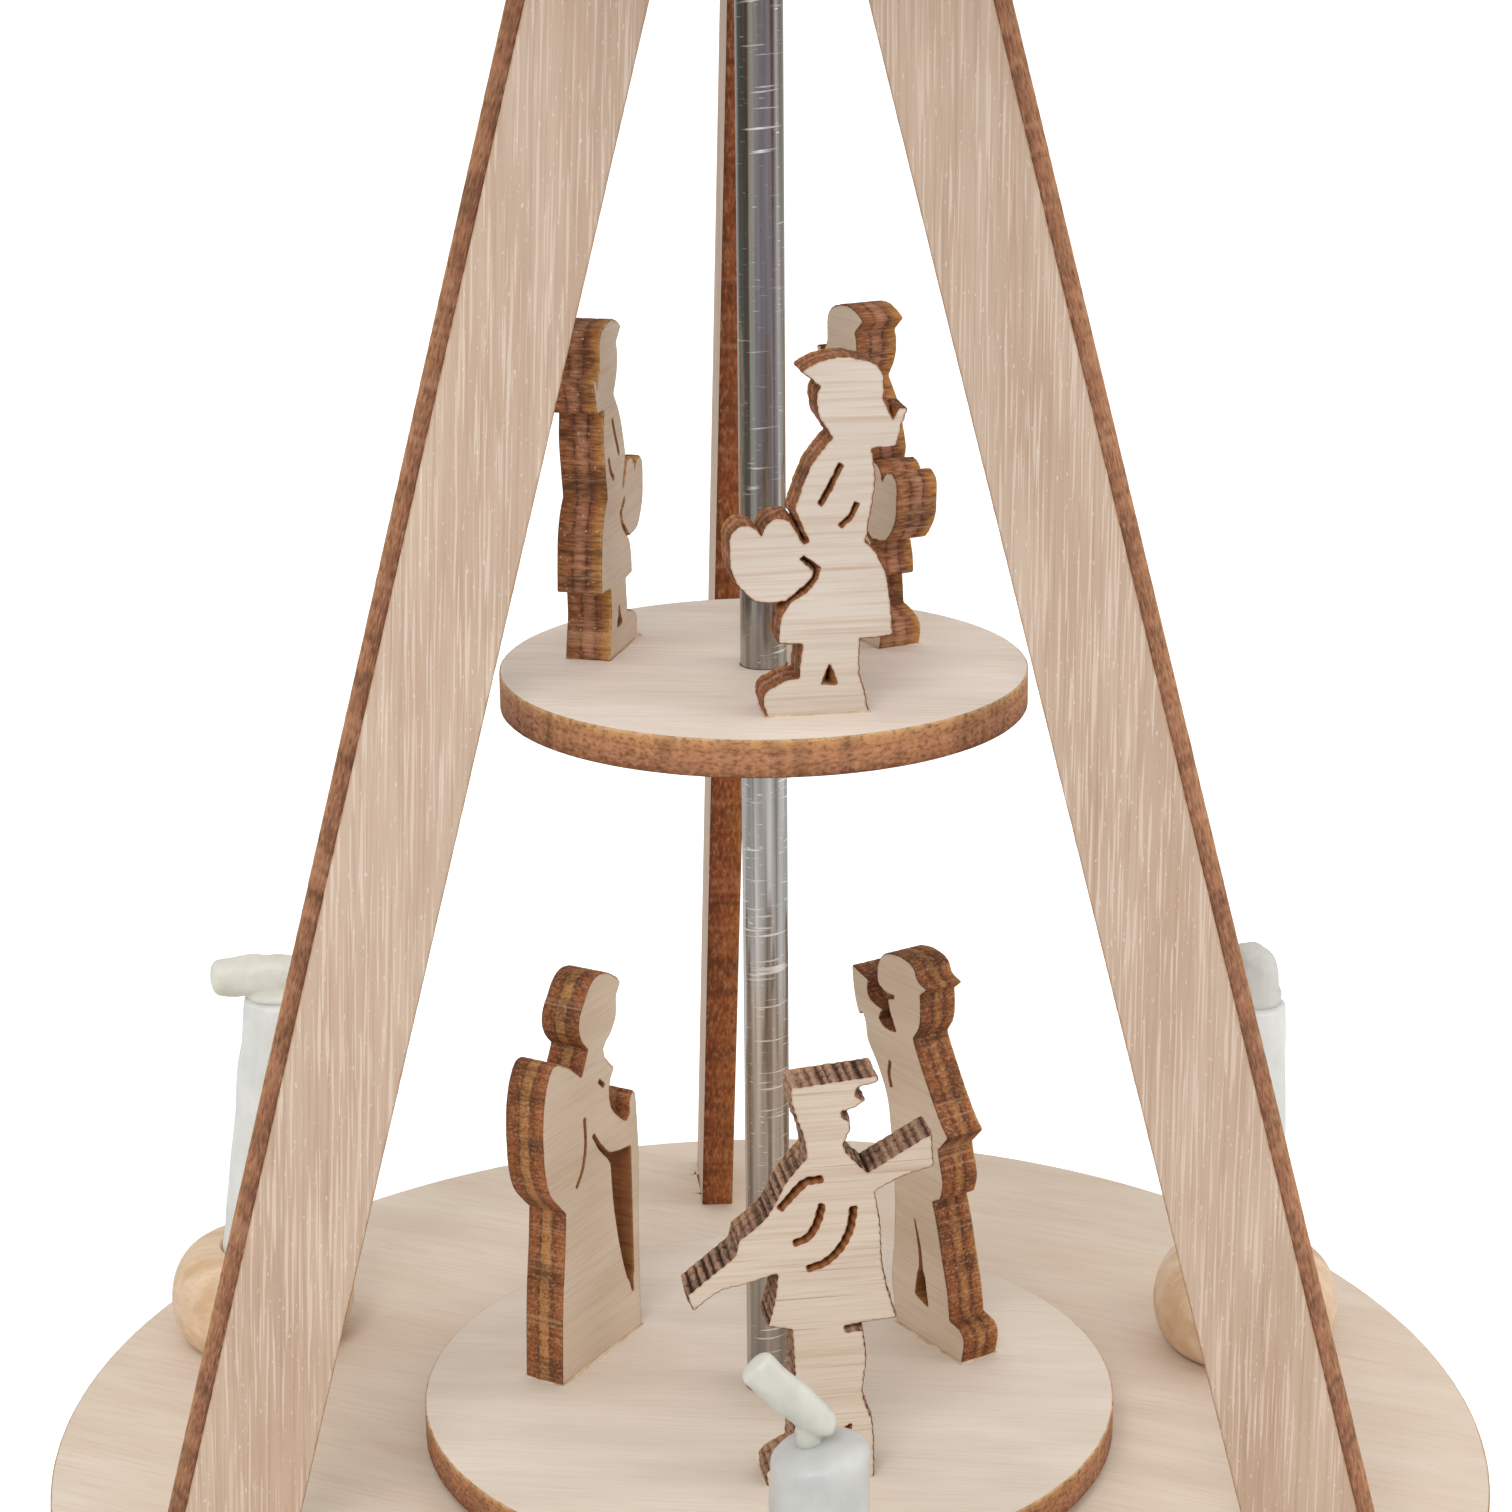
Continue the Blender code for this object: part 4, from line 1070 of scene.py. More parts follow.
    def edge_shift(self, length: float, along: np.ndarray, seed: float) -> np.ndarray:
        """Draw the laser's ripple along one cut, which closes on itself.

        Args:
            length: The length of the cut.
            along: Distances along it.
            seed: A shift that makes each cut its own.

        Returns:
            The shift away from the wood at each distance.
        """
        radius = length / (math.tau * self.ripple_length)
        angle = along / length * math.tau
        places = [Vector((radius * math.cos(at), radius * math.sin(at), seed)) for at in angle]
        rough = np.array([noise.noise(place) + MARK_SHARE * noise.noise(place * MARK_RATE)
                          for place in places])
        if self.ribs == 0.0:
            return rough * self.ripple
        # The regular ribs fade and swell along the cut, and the rough marks push them about a little.
        fade = np.array([FADE_LEVEL + FADE_SWING * noise.noise(place * FADE_RATE) for place in places])
        wave = np.cos(angle * max(1, round(length / self.ripple_length)) + RIB_PUSH * rough) * fade
        return (wave * self.ribs * 0.5 + rough * (1.0 - self.ribs)) * self.ripple

    def closing(self, flat: np.ndarray, out: np.ndarray) -> np.ndarray:
        """Find how far each point of a cut may move so that narrow slots close between the faces.

        Args:
            flat: The cut's points.
            out: Their directions away from the wood.

        Returns:
            A little under half the slot's width where the cut faces itself closely, and zero elsewhere.
        """
        if self.kerf == 0.0:
            return np.zeros(len(flat))
        unit = out / np.linalg.norm(out, axis=1)[:, None]
        between = flat[None] - flat[:, None]
        distance = np.linalg.norm(between, axis=2)
        ahead = (between * unit[:, None]).sum(2)
        # A point faces another if it lies ahead of it, looks back at it and is near enough.
        seen = (unit @ unit.T < FACING) & (ahead > AHEAD * distance) & (distance < self.kerf)
        gap = np.where(seen, distance, np.inf).min(1)
        free = np.where(np.isfinite(gap), np.maximum(CLOSED_SHARE * gap - self.grow, 0.0), 0.0)
        return sum(np.roll(free, shift) for shift in SMOOTHED) / len(SMOOTHED)

    def browned(self, build: MeshBuild, start: int, out: np.ndarray, way: int) -> tuple[np.ndarray, range]:
        """Lay the browned band on a face along one cut.

        Args:
            build: The mesh being made.
            start: The number of the first point of the cut's arris on that face.
            out: The directions of the cut's points away from the wood.
            way: 1 for the upper face, -1 for the lower.

        Returns:
            The flat points of the band's inner side and their numbers in the mesh.
        """
        count = len(out)
        inner = np.array(build.points[start:start + count])
        inner[:, :2] -= out * self.halo
        band = build.add_points(inner)
        for at in range(count):
            after = (at + 1) % count
            corners = (band + at, start + at, start + after, band + after)
            build.add_face(corners[::way], 0)
        return inner[:, :2], range(band, band + count)

    def wall(self, build: MeshBuild, cut: CutLoop, seed: float,
             thickness: float) -> tuple[int, int, np.ndarray]:
        """Raise the rippled wall of one cut.

        Args:
            build: The mesh being made.
            cut: The cut.
            seed: A shift that makes the cut's ripple its own.
            thickness: The plate's thickness.

        Returns:
            The numbers of the first points of its top and bottom rows, and the directions of a row's points
            away from the wood.
        """
        flat, out, along = cut.refined(self.step, self.corner)
        ahead = np.roll(flat, -1, axis=0)
        hole = (flat[:, 0] * ahead[:, 1] - ahead[:, 0] * flat[:, 1]).sum() < 0
        shift = self.edge_shift(along[-1] + self.step, along, seed)
        slow = np.array([noise.noise(Vector((x * PATCH_RATE, y * PATCH_RATE, self.face.seed)))
                         for x, y in flat])
        # The valleys of the ripple are charred and painted in shade, and its crests are bare and painted
        # lighter as a highlight.
        valleys = (VALLEY_SHADE_SWING + RIB_SHADE * self.ribs) * shift / self.ripple
        char_and_shading = np.clip(0.5 - valleys + PATCH_BURN * slow, 0.0, 1.0)
        # Holes keep less of the char and painted shade, so their walls are painted lighter against the shade
        # inside them.
        if hole:
            char_and_shading = HOLE_LIGHTENED_SHARE * char_and_shading
        closing = self.closing(flat, out)
        through = cut.floor is None
        half, arris_share = thickness / 2, self.bevel / thickness
        floor = -half if through else cut.floor
        shares = [0.0, arris_share, *(WALL_SHARES if through else POCKET_SHARES)]
        if through:
            shares += [1 - arris_share, 1.0]
        fit = 0.0
        if hole:
            fit = self.snug if len(cut.points) == 4 and self.snug > 0.0 else self.tighten
        start = len(build.points)
        for share in shares:
            level = half + (floor - half) * share
            arris = share == 0.0 or (share == 1.0 and through)
            # The ripple is calm at the faces and in the holes, and full further in.
            depth = min(1.0, min(share, 1.0 - share) / CALM_SHARE)
            depth = depth * depth * (3.0 - 2.0 * depth)
            calm = self.calm if hole else self.calm + (1.0 - self.calm) * depth
            fine = np.array([noise.noise(Vector((x * FINE_RATE, y * FINE_RATE, level * FINE_DEPTH_RATE)))
                             for x, y in flat])
            groove = GROOVE if share in GROOVE_SHARES else 0.0
            offset = shift * calm + FINE_SHARE * calm * self.ripple * fine + groove + fit + self.grow
            offset = offset + closing * (self.pinch + (1.0 - self.pinch) * depth)
            row = flat + out * (offset - (self.bevel if arris else 0.0))[:, None]
            build.add_points(np.column_stack([row, np.full(len(row), level)]),
                             np.clip(char_and_shading + (self.arris_burn if arris else 0.0), 0.0, 1.0),
                             (self.hole_scorch if hole else 1.0) if arris else 0.0)
        # The walls of holes take the inner finish where there is one, which is painted lighter against their
        # shade.
        build.add_grid(start, len(shares), len(flat), 2 if hole and self.inner else 1)
        return start, len(build.points) - len(flat), out

    def build(self) -> Object:
        """Make the piece, hide its CAD node and let it ride on its body.

        Returns:
            The piece.
        """
        place, thickness, cuts = self.plate()
        build = MeshBuild()
        tops, bottoms = [], []
        for number, cut in enumerate(cuts):
            top, bottom, out = self.wall(build, cut, number + self.face.seed, thickness)
            tops.append(self.browned(build, top, out, 1))
            if cut.floor is None:
                bottoms.append(self.browned(build, bottom, out, -1))
            else:
                ring = range(bottom, bottom + len(out))
                fill_cap(build, [(np.array([build.points[at][:2] for at in ring]), ring)], cut.floor, 1, True)
        fill_cap(build, tops, thickness / 2, 0, True)
        fill_cap(build, bottoms, -thickness / 2, 0, False)
        finishes = [self.face, self.edge] + ([self.inner] if self.inner else [])
        piece = build.object(f"{self.node}_cut", [finish.material() for finish in finishes])
        piece.matrix_world = place
        return hand_over(piece, self.body, self.slot, self.node)


def turned_object(name: str, profile: Sequence[tuple[float, float]], sides: int,
                  material: Material, place: Vector = Vector((0.0, 0.0, 0.0)),
                  sway: Callable[[float], float] = lambda height: 0.0) -> Object:
    """Turn a profile about its axis.

    Args:
        name: The piece's name.
        profile: Radii and heights, outside from the top down; ends on the axis have radius zero.
        sides: How many sides it gets.
        material: Its material.
        place: The foot of its axis in the model, in metres.
        sway: How far the axis leans towards +X at a height.

    Returns:
        The piece.
    """
    build = MeshBuild()
    angles = np.arange(sides) / sides * math.tau
    rings = [entry for entry in profile if entry[0] > 0]
    for radius, height in rings:
        build.add_points(np.column_stack([radius * np.cos(angles) + sway(height), radius * np.sin(angles),
                                          np.full(sides, height)]))
    open_at_axis = profile[0][0] > 0
    build.add_grid(0, len(rings), sides, 0, ring=open_at_axis)
    if not open_at_axis:
        for at, ring in ((0, 0), (-1, len(rings) - 1)):
            tip = build.add_points(np.array([(sway(profile[at][1]), 0.0, profile[at][1])]))
            for column in range(sides):
                pair = (ring * sides + column, ring * sides + (column + 1) % sides)
                build.add_face((tip, *pair) if at == 0 else (tip, *pair[::-1]), 0)
    piece = build.object(name, [material], ROUND_SHARP_TURN)
    piece.location = place
    return piece


def quarter(from_radius: float, to_radius: float, from_height: float, to_height: float,
            steps: int = 12) -> list[tuple[float, float]]:
    """Lay points along a quarter ellipse from an upright start to a level end.

    Args:
        from_radius: The radius at the upright start.
        to_radius: The radius at the level end.
        from_height: The height at the start.
        to_height: The height at the end.
        steps: How many steps it gets.

    Returns:
        Radii and heights.
    """
    angles = [math.pi / 2 * step / steps for step in range(steps + 1)]
    return [(from_radius + (to_radius - from_radius) * (1 - math.cos(angle)),
             from_height + (to_height - from_height) * math.sin(angle)) for angle in angles]


def foot_of(node: str) -> Vector:
    """Find the middle of a CAD node's underside, in metres."""
    low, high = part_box(node)
    return Vector(((low.x + high.x) / 2, (low.y + high.y) / 2, low.z))


@dataclass
class StandFrame:
    """The parts that stand still: base, legs, head, bush, cup and candle holders.

    Args:
        base_top: The height of the base's upper face.
        seat_gap: The gap that the CAD leaves at glued joints.
        plywood: The thickness of the legs and the head plate.
        hole_fit, mortise_fit: How much closer the holes and the legs' mortises fit than in the CAD.
        sunk, holder_sunk: How far the legs' shoulders and the holders' undersides lie over the base, in
            place of the gap.
        holder_height to peg_length: The sizes of a candle holder, its socket and its peg; its rim's edges
            are turned away by rim_round, and its outer side starts rim_drop below the rim.
        holder_sides, metal_sides: How many sides the turned wood and the turned metal get.
        leg_inner_foot, leg_inner_head: How far from the axis the rear leg's inner edge stands at the base's
            underside and at the leg's top.
        leg_twist: How far the rear leg is turned about that edge, in degrees.
        leg_shift: How far it is moved towards +X.
        bore_radius to chamfer: The sizes of the bush in the head.
        cup_radius to dimple_depth: The sizes of the cup and of the dimple that the spindle's point turns in.
    """

    base_top: float = 5.0
    seat_gap: float = 0.3
    plywood: float = 3.2
    hole_fit: float = 0.26
    mortise_fit: float = 0.95
    sunk: float = 0.02
    holder_sunk: float = 0.03
    holder_height: float = 9.8
    belly_radius: float = 8.85
    belly_height: float = 4.5
    foot_radius: float = 6.2
    socket_radius: float = 3.74
    socket_depth: float = 6.5
    rim_wall: float = 1.46
    rim_round: float = 0.25
    rim_drop: float = 0.1
    peg_radius: float = 2.4
    peg_length: float = 3.0
    holder_sides: int = 72
    leg_inner_foot: float = 48.6
    leg_inner_head: float = 6.3
    leg_twist: float = 3.2
    leg_shift: float = 0.3
    bore_radius: float = 2.3
    bush_wall: float = 1.2
    flange_radius: float = 5.2
    flange_height: float = 0.8
    chamfer: float = 0.2
    cup_radius: float = 4.0
    cup_chamfer: float = 0.15
    dimple_radius: float = 3.0
    dimple_floor: float = 0.5
    dimple_depth: float = 2.4
    metal_sides: int = 64

    def build(self) -> None:
        """Make all the standing parts."""
        self.build_base()
        self.build_legs()
        self.build_head()
        self.build_metal()
        self.build_holders()

    def build_base(self) -> None:
        """Cut the round base plate; its grain runs at an angle to the photograph."""
        face = BirchVeneer("sanded_birch_base", light="#E0D1C0", middle="#D6C3AF", dark="#C6AE96", seed=4.0,
                           fibre_length=7.0, fibre_width=0.35, fibre_share=0.35, fleck_share=0.35, turn=24.0)
        edge = BurntEdge("burnt_base_edge", self.base_top, seed=3.0)
        PlywoodPiece("base_plate", Body.FRAME, Slot.PLYWOOD, (1.0, 0.0, 0.0), face, edge, step=0.8,
                     tighten=self.hole_fit, snug=self.mortise_fit).build()

    def build_legs(self) -> None:
        """Cut the three legs; the rear one's edge is redder than the others' and it sits a little turned."""
        plies = ((0.0, "#B98A5E"), (0.12, "#AE7A56"), (0.5, "#A06A4A"), (0.85, "#8E5B3D"), (1.0, "#74482F"))
        rear_plies = ((0.0, "#B5773F"), (0.12, "#A96536"), (0.5, "#A05A30"), (0.85, "#8E4C28"),
                      (1.0, "#743E20"))
        shoulder = self.base_top + self.seat_gap
        for number, (name, own_plies, grain_lean) in enumerate((("leg_left", plies, 0.06),
                                                                ("leg_right", plies, 0.0),
                                                                ("leg_rear", rear_plies, -0.06))):
            face = BirchVeneer(f"sanded_birch_{name}", light="#CDB7A3", middle="#C0A691", dark="#A98B73",
                               seed=10.0 + number, fibre_length=16.0, fibre_width=0.28, fibre_share=0.5,
                               fleck_share=0.72, band_share=0.2, band="#C59E7C", fleck="#DFCDBC",
                               speck_share=0.45)
            edge = BurntEdge(f"burnt_edge_{name}", self.plywood, own_plies, line_share=0.15, patch_share=0.3,
                             grain=(0.9, 0.4, 0.3), seed=20.0 + number)
            leg = PlywoodPiece(name, Body.FRAME, Slot.PLYWOOD, (grain_lean, 0.0, 1.0), face, edge, corner=0.2,
                               halo=0.2, lowered={shoulder: self.base_top + self.sunk}).build()
            if name == "leg_rear":
                self.twist(leg)

    def build_head(self) -> None:
        """Cut the head plate."""
        face = BirchVeneer("sanded_birch_head", seed=30.0)
        edge = BurntEdge("burnt_head_edge", self.plywood, seed=31.0)
        PlywoodPiece("head_plate", Body.FRAME, Slot.PLYWOOD, (1.0, 0.0, 0.0), face, edge,
                     tighten=self.hole_fit).build()

    def twist(self, leg: Object) -> None:
        """Turn the rear leg about its inner edge by the play of its tenons, as the photographed one sits.

        Args:
            leg: The rear leg's piece.
        """
        low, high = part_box("leg_rear")
        outward = Vector(((low.x + high.x) / 2, (low.y + high.y) / 2, 0.0)).normalized()
        foot = outward * self.leg_inner_foot * MM
        head = outward * self.leg_inner_head * MM + Vector((0.0, 0.0, high.z))
        turn = Matrix.Rotation(math.radians(-self.leg_twist), 4, head - foot)
        shift = Matrix.Translation(Vector((self.leg_shift * MM, 0.0, 0.0)))
        to_foot, from_foot = Matrix.Translation(foot), Matrix.Translation(-foot)
        leg.matrix_world = shift @ to_foot @ turn @ from_foot @ leg.matrix_world

    def build_metal(self) -> None:
        """Turn the bush in the head and the cup in the base."""
        brass = TurnedBrass().material()
        low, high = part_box("head_bush")
        top, bottom = high.z / MM, low.z / MM
        bore, flange, chamfer = self.bore_radius, self.flange_radius, self.chamfer
        barrel, rest = bore + self.bush_wall, top - self.flange_height
        profile = [(bore, top - chamfer), (bore + chamfer, top), (flange - chamfer, top),
                   (flange, top - chamfer), (flange, rest), (barrel, rest), (barrel, bottom), (bore, bottom)]
        bush = turned_object("turned_head_bush", profile, self.metal_sides, brass)
        hand_over(bush, Body.FRAME, Slot.BRASS, "head_bush")
        low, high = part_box("bearing_cup")
        top, bottom = high.z / MM, low.z / MM
        rim, floor = self.cup_radius, top - self.dimple_depth
        profile = [(0.0, floor), (self.dimple_floor, floor), (self.dimple_radius, top),
                   (rim - self.cup_chamfer, top), (rim, top - self.cup_chamfer), (rim, bottom), (0.0, bottom)]
        cup = turned_object("turned_bearing_cup", profile, self.metal_sides, brass)
        hand_over(cup, Body.FRAME, Slot.BRASS, "bearing_cup")

    def build_holders(self) -> None:
        """Turn the three candle holders."""
        top, low = self.holder_height, self.holder_sunk
        socket, rim, rounding = self.socket_radius, self.socket_radius + self.rim_wall, self.rim_round
        floor = top - self.socket_depth
        shoulder = quarter(self.belly_radius, rim, self.belly_height, top - self.rim_drop)[::-1]
        under = quarter(self.belly_radius, self.foot_radius, self.belly_height, low)[1:]
        profile = [(0.0, floor), (socket, floor), (socket, top - rounding), (socket + rounding, top),
                   (rim - rounding, top), *shoulder, *under, (self.peg_radius, low),
                   (self.peg_radius, -self.peg_length), (0.0, -self.peg_length)]
        for number, side in enumerate(("front", "left", "right")):
            node = f"candle_holder_{side}"
            foot = foot_of(node)
            foot.z = self.base_top * MM
            beech = TurnedBeech(f"turned_beech_{side}", seed=40.0 + number).material()
            holder = turned_object(f"turned_{node}", profile, self.holder_sides, beech, foot)
            hand_over(holder, Body.FRAME, Slot.TURNED_WOOD, node)


@dataclass
class FigureStyle:
    """How one figure was cut and glued.

    Args:
        node: Its CAD node.
        ripple, ripple_length: The depth of the ripples in its edge, and the distance between them.
        light, middle: The tones of its veneer.
        band_share, crack_share: How strongly growth bands and fine cracks show in it.
        plies, slots: Places and colours of the plies across its edge and in its slots; the slots' colours are
            painted lighter against the shade inside them.
        char, wear_and_highlight: The colours of its char, also painted shade in the valleys, and of the
            ripples' crests, a painted highlight.
        ribs, grow, calm, kerf, pinch: As in PlywoodPiece.
        specks, char_share, grain: As speck_share, char_share and grain in BurntEdge.
        glue: The radius of the glue bead round its foot.
        glue_pad: How much further the glue spreads at the foot's right end.
    """

    node: str
    ripple: float
    ripple_length: float
    light: str
    middle: str
    band_share: float = 0.0
    crack_share: float = 0.0
    plies: Stops = ((0.0, "#CFA067"), (0.05, "#B8803F"), (0.2, "#A66C38"), (0.26, "#92583A"),
                    (0.5, "#B47C5C"), (0.74, "#9A5E3A"), (0.8, "#A06438"), (1.0, "#8A5532"))
    char: str = "#4A2C1A"
    wear_and_highlight: str = "#C79D78"
    ribs: float = 0.0
    specks: float = 0.0
    # The slots' plies are painted lighter than the edge's, against the shade inside the slots.
    slots: Stops = ((0.0, "#96663C"), (0.06, "#875434"), (0.3, "#84502E"), (1.0, "#84502E"))
    grow: float = 0.03
    calm: float = 1.0
    kerf: float = 1.0
    pinch: float = 0.0
    char_share: float = 0.6
    grain: Place = (0.2, 0.2, 0.9)
    glue: float = 0.22
    glue_pad: float = 0.0


@dataclass
class Carousel:
    """The parts that turn: spindle, platforms and figures.

    Args:
        spindle_radius, spindle_chamfer, spindle_sides: The size of the steel rod, the chamfer at its top
            and the number of sides that it gets.
        point_length, point_radius, point_round: The length of its turned point, and the width and the
            height of the point's rounded tip.
        plywood: The thickness of the platforms.
        figure_plywood: The thickness of the figures.
        hole_fit: How much closer the platforms fit round the rod than in the CAD.
        seat_gap: The gap that the CAD leaves under the figures.
        sunk: How far a figure starts above its platform instead.
        bead_steps, bead_sides: How many steps a side of a glue bead and its cross-section get.
        bead_flatness: A bead's height as a share of its width.
        bead_rate, bead_middle, bead_swing: How fast its width changes along it, and the middle and the
            swing of that, as shares of the style's.
        pad_reach: How far in from the foot's end the spread glue starts.
        styles: How each figure was cut and glued.
    """

    spindle_radius: float = 2.0
    spindle_chamfer: float = 0.3
    point_length: float = 2.4
    point_radius: float = 0.2
    point_round: float = 0.05
    spindle_sides: int = 64
    plywood: float = 3.2
    figure_plywood: float = 4.0
    hole_fit: float = 0.27
    seat_gap: float = 0.3
    sunk: float = 0.02
    bead_steps: int = 10
    bead_sides: int = 10
    bead_flatness: float = 0.55
    bead_rate: float = 0.6
    bead_middle: float = 0.75
    bead_swing: float = 0.7
    pad_reach: float = 0.4
    styles: tuple[FigureStyle, ...] = (
        FigureStyle("basket_maid_front", 0.08, 0.5, "#D4C8BB", "#C9BBAD", band_share=0.45, crack_share=0.12,
                    grow=0.12, kerf=1.6),
        FigureStyle("basket_maid_left", 0.05, 0.3, "#DDCCB9", "#CFBAA3", ribs=0.3, specks=0.6, glue=0.12,
                    glue_pad=0.5, pinch=0.45),
        FigureStyle("basket_maid_right", 0.06, 0.3, "#DDCCB9", "#CFBAA3", ribs=0.3, pinch=0.45),
        FigureStyle("pedlar_with_cane", 0.04, 0.28, "#DDCBB6", "#D0BAA2", ribs=0.3, glue=0.3, pinch=0.5,
                    plies=((0.0, "#A8683E"), (0.2, "#975A35"), (0.27, "#844828"), (0.42, "#B5814F"),
                           (0.6, "#AE7845"), (0.74, "#8A4E2C"), (0.8, "#9A5C32"), (1.0, "#865234")),
                    grain=(0.24, 0.24, 0.32)),
        FigureStyle("dancer", 0.36, 0.85, "#D7C9B8", "#CCBCA9", band_share=0.3, crack_share=0.42,
                    plies=((0.0, "#C99C66"), (0.08, "#AC8060"), (0.6, "#A07860"), (1.0, "#8C6650")),
                    char="#301B12", wear_and_highlight="#C3A58C", ribs=0.85, calm=0.25, char_share=0.95,
                    slots=((0.0, "#C48A48"), (0.08, "#9A5C30"), (0.3, "#824A26"), (1.0, "#824A26"))),
        FigureStyle("load_bearer", 0.04, 0.28, "#DDCBB6", "#D0BAA2", ribs=0.3, glue=0.3, pinch=0.5,
                    plies=((0.0, "#CB9853"), (0.07, "#A0683A"), (0.22, "#90552E"), (0.3, "#7E4728"),
                           (0.5, "#A87240"), (0.7, "#84492A"), (0.78, "#925630"), (1.0, "#7E4A2A")),
                    grain=(0.24, 0.24, 0.32)),
    )

    def build(self) -> None:
        """Make all the turning parts."""
        self.build_spindle()
        self.build_platforms()
        self.build_figures()

    def build_spindle(self) -> None:
        """Make the steel rod with its turned point."""
        low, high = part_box("spindle")
        bottom, top = low.z / MM, high.z / MM
        radius, chamfer = self.spindle_radius, self.spindle_chamfer
        profile = [(0.0, top), (radius - chamfer, top), (radius, top - chamfer),
                   (radius, bottom + self.point_length), (self.point_radius, bottom + self.point_round),
                   (0.0, bottom)]
        steel = DrawnSteel("drawn_steel_rod", seed=2.0).material()
        rod = turned_object("drawn_spindle", profile, self.spindle_sides, steel)
        hand_over(rod, Body.CAROUSEL, Slot.STEEL, "spindle")

    def build_platforms(self) -> None:
        """Cut the two round platforms."""
        plies = ((0.0, "#D9AE80"), (0.08, "#C4925F"), (0.25, "#B67E56"), (0.6, "#AE7855"), (0.85, "#986443"),
                 (1.0, "#7A4D33"))
        for number, (name, light, middle) in enumerate((("lower_platform", "#E1D4C6", "#D6C8B8"),
                                                        ("upper_platform", "#EDE2D7", "#E3D6C9"))):
            face = BirchVeneer(f"sanded_birch_{name}", light=light, middle=middle, dark="#CBB9A8",
                               seed=50.0 + number, fibre_length=8.0, fibre_width=0.22, fibre_share=0.45,
                               fleck_share=0.35)
            edge = BurntEdge(f"burnt_edge_{name}", self.plywood, plies, line_share=0.2, char_share=0.4,
                             crest_highlight_share=0.2, patch_share=0.3, grain=(0.5, 0.5, 0.3), seed=60.0 + number)
            PlywoodPiece(name, Body.CAROUSEL, Slot.PLYWOOD, (1.0, -0.1, 0.0), face, edge, ripple_length=0.9,
                         tighten=self.hole_fit).build()

    def build_figures(self) -> None:
        """Cut the six figures and glue their feet down."""
        glue = DriedGlue().material()
        for number, style in enumerate(self.styles):
            low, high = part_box(style.node)
            foot = low.z / MM
            platform_top = foot - self.seat_gap
            face = BirchVeneer(f"sanded_birch_{style.node}", style.light, style.middle, "#B89E86",
                               seed=70.0 + number, fibre_length=7.0, fibre_width=0.24, fibre_share=0.35,
                               fleck_share=0.4, band_share=style.band_share, crack_share=style.crack_share)
            edge = BurntEdge(f"charred_edge_{style.node}", self.figure_plywood, style.plies, style.char,
                             style.wear_and_highlight, line_share=0.95, char_share=style.char_share, patch_share=0.62,
                             grain=style.grain, speck_share=style.specks, seed=80.0 + number)
            # The slots' finish is painted lighter than the edge, against the shade inside them.
            slots = BurntEdge(f"charred_slots_{style.node}", self.figure_plywood, style.slots, "#5A3319",
                              "#B98750", line_share=0.4, char_share=0.3, patch_share=0.2, grain_share=0.3,
                              seed=90.0 + number)
            across = Vector((high.x - low.x, high.y - low.y, 0.0))
            piece = PlywoodPiece(style.node, Body.CAROUSEL, Slot.FIGURE_PLYWOOD, tuple(across), face, edge,
                                 step=0.16, ripple=style.ripple, ripple_length=style.ripple_length, bevel=0.1,
                                 corner=0.22, halo=0.16, ribs=style.ribs, grow=style.grow, inner=slots,
                                 calm=style.calm, kerf=style.kerf, pinch=style.pinch,
                                 lowered={foot: platform_top + self.sunk}).build()
            self.build_glue(piece, style, platform_top, glue)

    def build_glue(self, piece: Object, style: FigureStyle, level: float,
                   glue: Material) -> None:
        """Squeeze a bead of glue out round a figure's foot.

        Args:
            piece: The figure.
            style: How it was made.
            level: The height of the platform.
            glue: The glue's material.
        """
        turn = piece.matrix_world.to_3x3()
        along, across = turn.col[0].copy(), turn.col[2].copy()
        places = [piece.matrix_world @ vertex.co for vertex in piece.data.vertices]
        feet = [place for place in places if place.z < level * MM + self.seat_gap * MM]
        reach = [place.dot(along) / MM for place in feet]
        depth = [place.dot(across) / MM for place in feet]
        middle = ((min(reach) + max(reach)) / 2, (min(depth) + max(depth)) / 2)
        half = ((max(reach) - min(reach)) / 2, (max(depth) - min(depth)) / 2)
        signs = ((1, 1), (-1, 1), (-1, -1), (1, -1))
        path = []
        for (sign_x, sign_y), (after_x, after_y) in zip(signs, signs[1:] + signs[:1]):
            for share in np.arange(self.bead_steps) / self.bead_steps:
                path.append((middle[0] + half[0] * (sign_x + (after_x - sign_x) * share),
                             middle[1] + half[1] * (sign_y + (after_y - sign_y) * share)))
        build = MeshBuild()
        for x, y in path:
            out = Vector(((x - middle[0]) / half[0], (y - middle[1]) / half[1])).normalized()
            soft = noise.noise(Vector((x * self.bead_rate, y * self.bead_rate, style.ripple_length * 9.0)))
            radius = style.glue * (self.bead_middle + self.bead_swing * soft)
            if style.glue_pad > 0.0 and x > middle[0] + half[0] - self.pad_reach:
                radius += style.glue_pad
            for side in range(self.bead_sides):
                angle = math.tau * side / self.bead_sides
                spread = radius * math.cos(angle)
                place = along * (x + out.x * spread) + across * (y + out.y * spread)
                height = level + self.bead_flatness * radius * math.sin(angle)
                build.add_points(np.array([(place.x, place.y, height)]))
        build.add_grid(0, len(path), self.bead_sides, 0, ring=True)
        bead = build.object(f"glue_bead_{style.node}", [glue], BEAD_SHARP_TURN)
        hand_over(bead, Body.CAROUSEL, Slot.FIGURE_PLYWOOD)


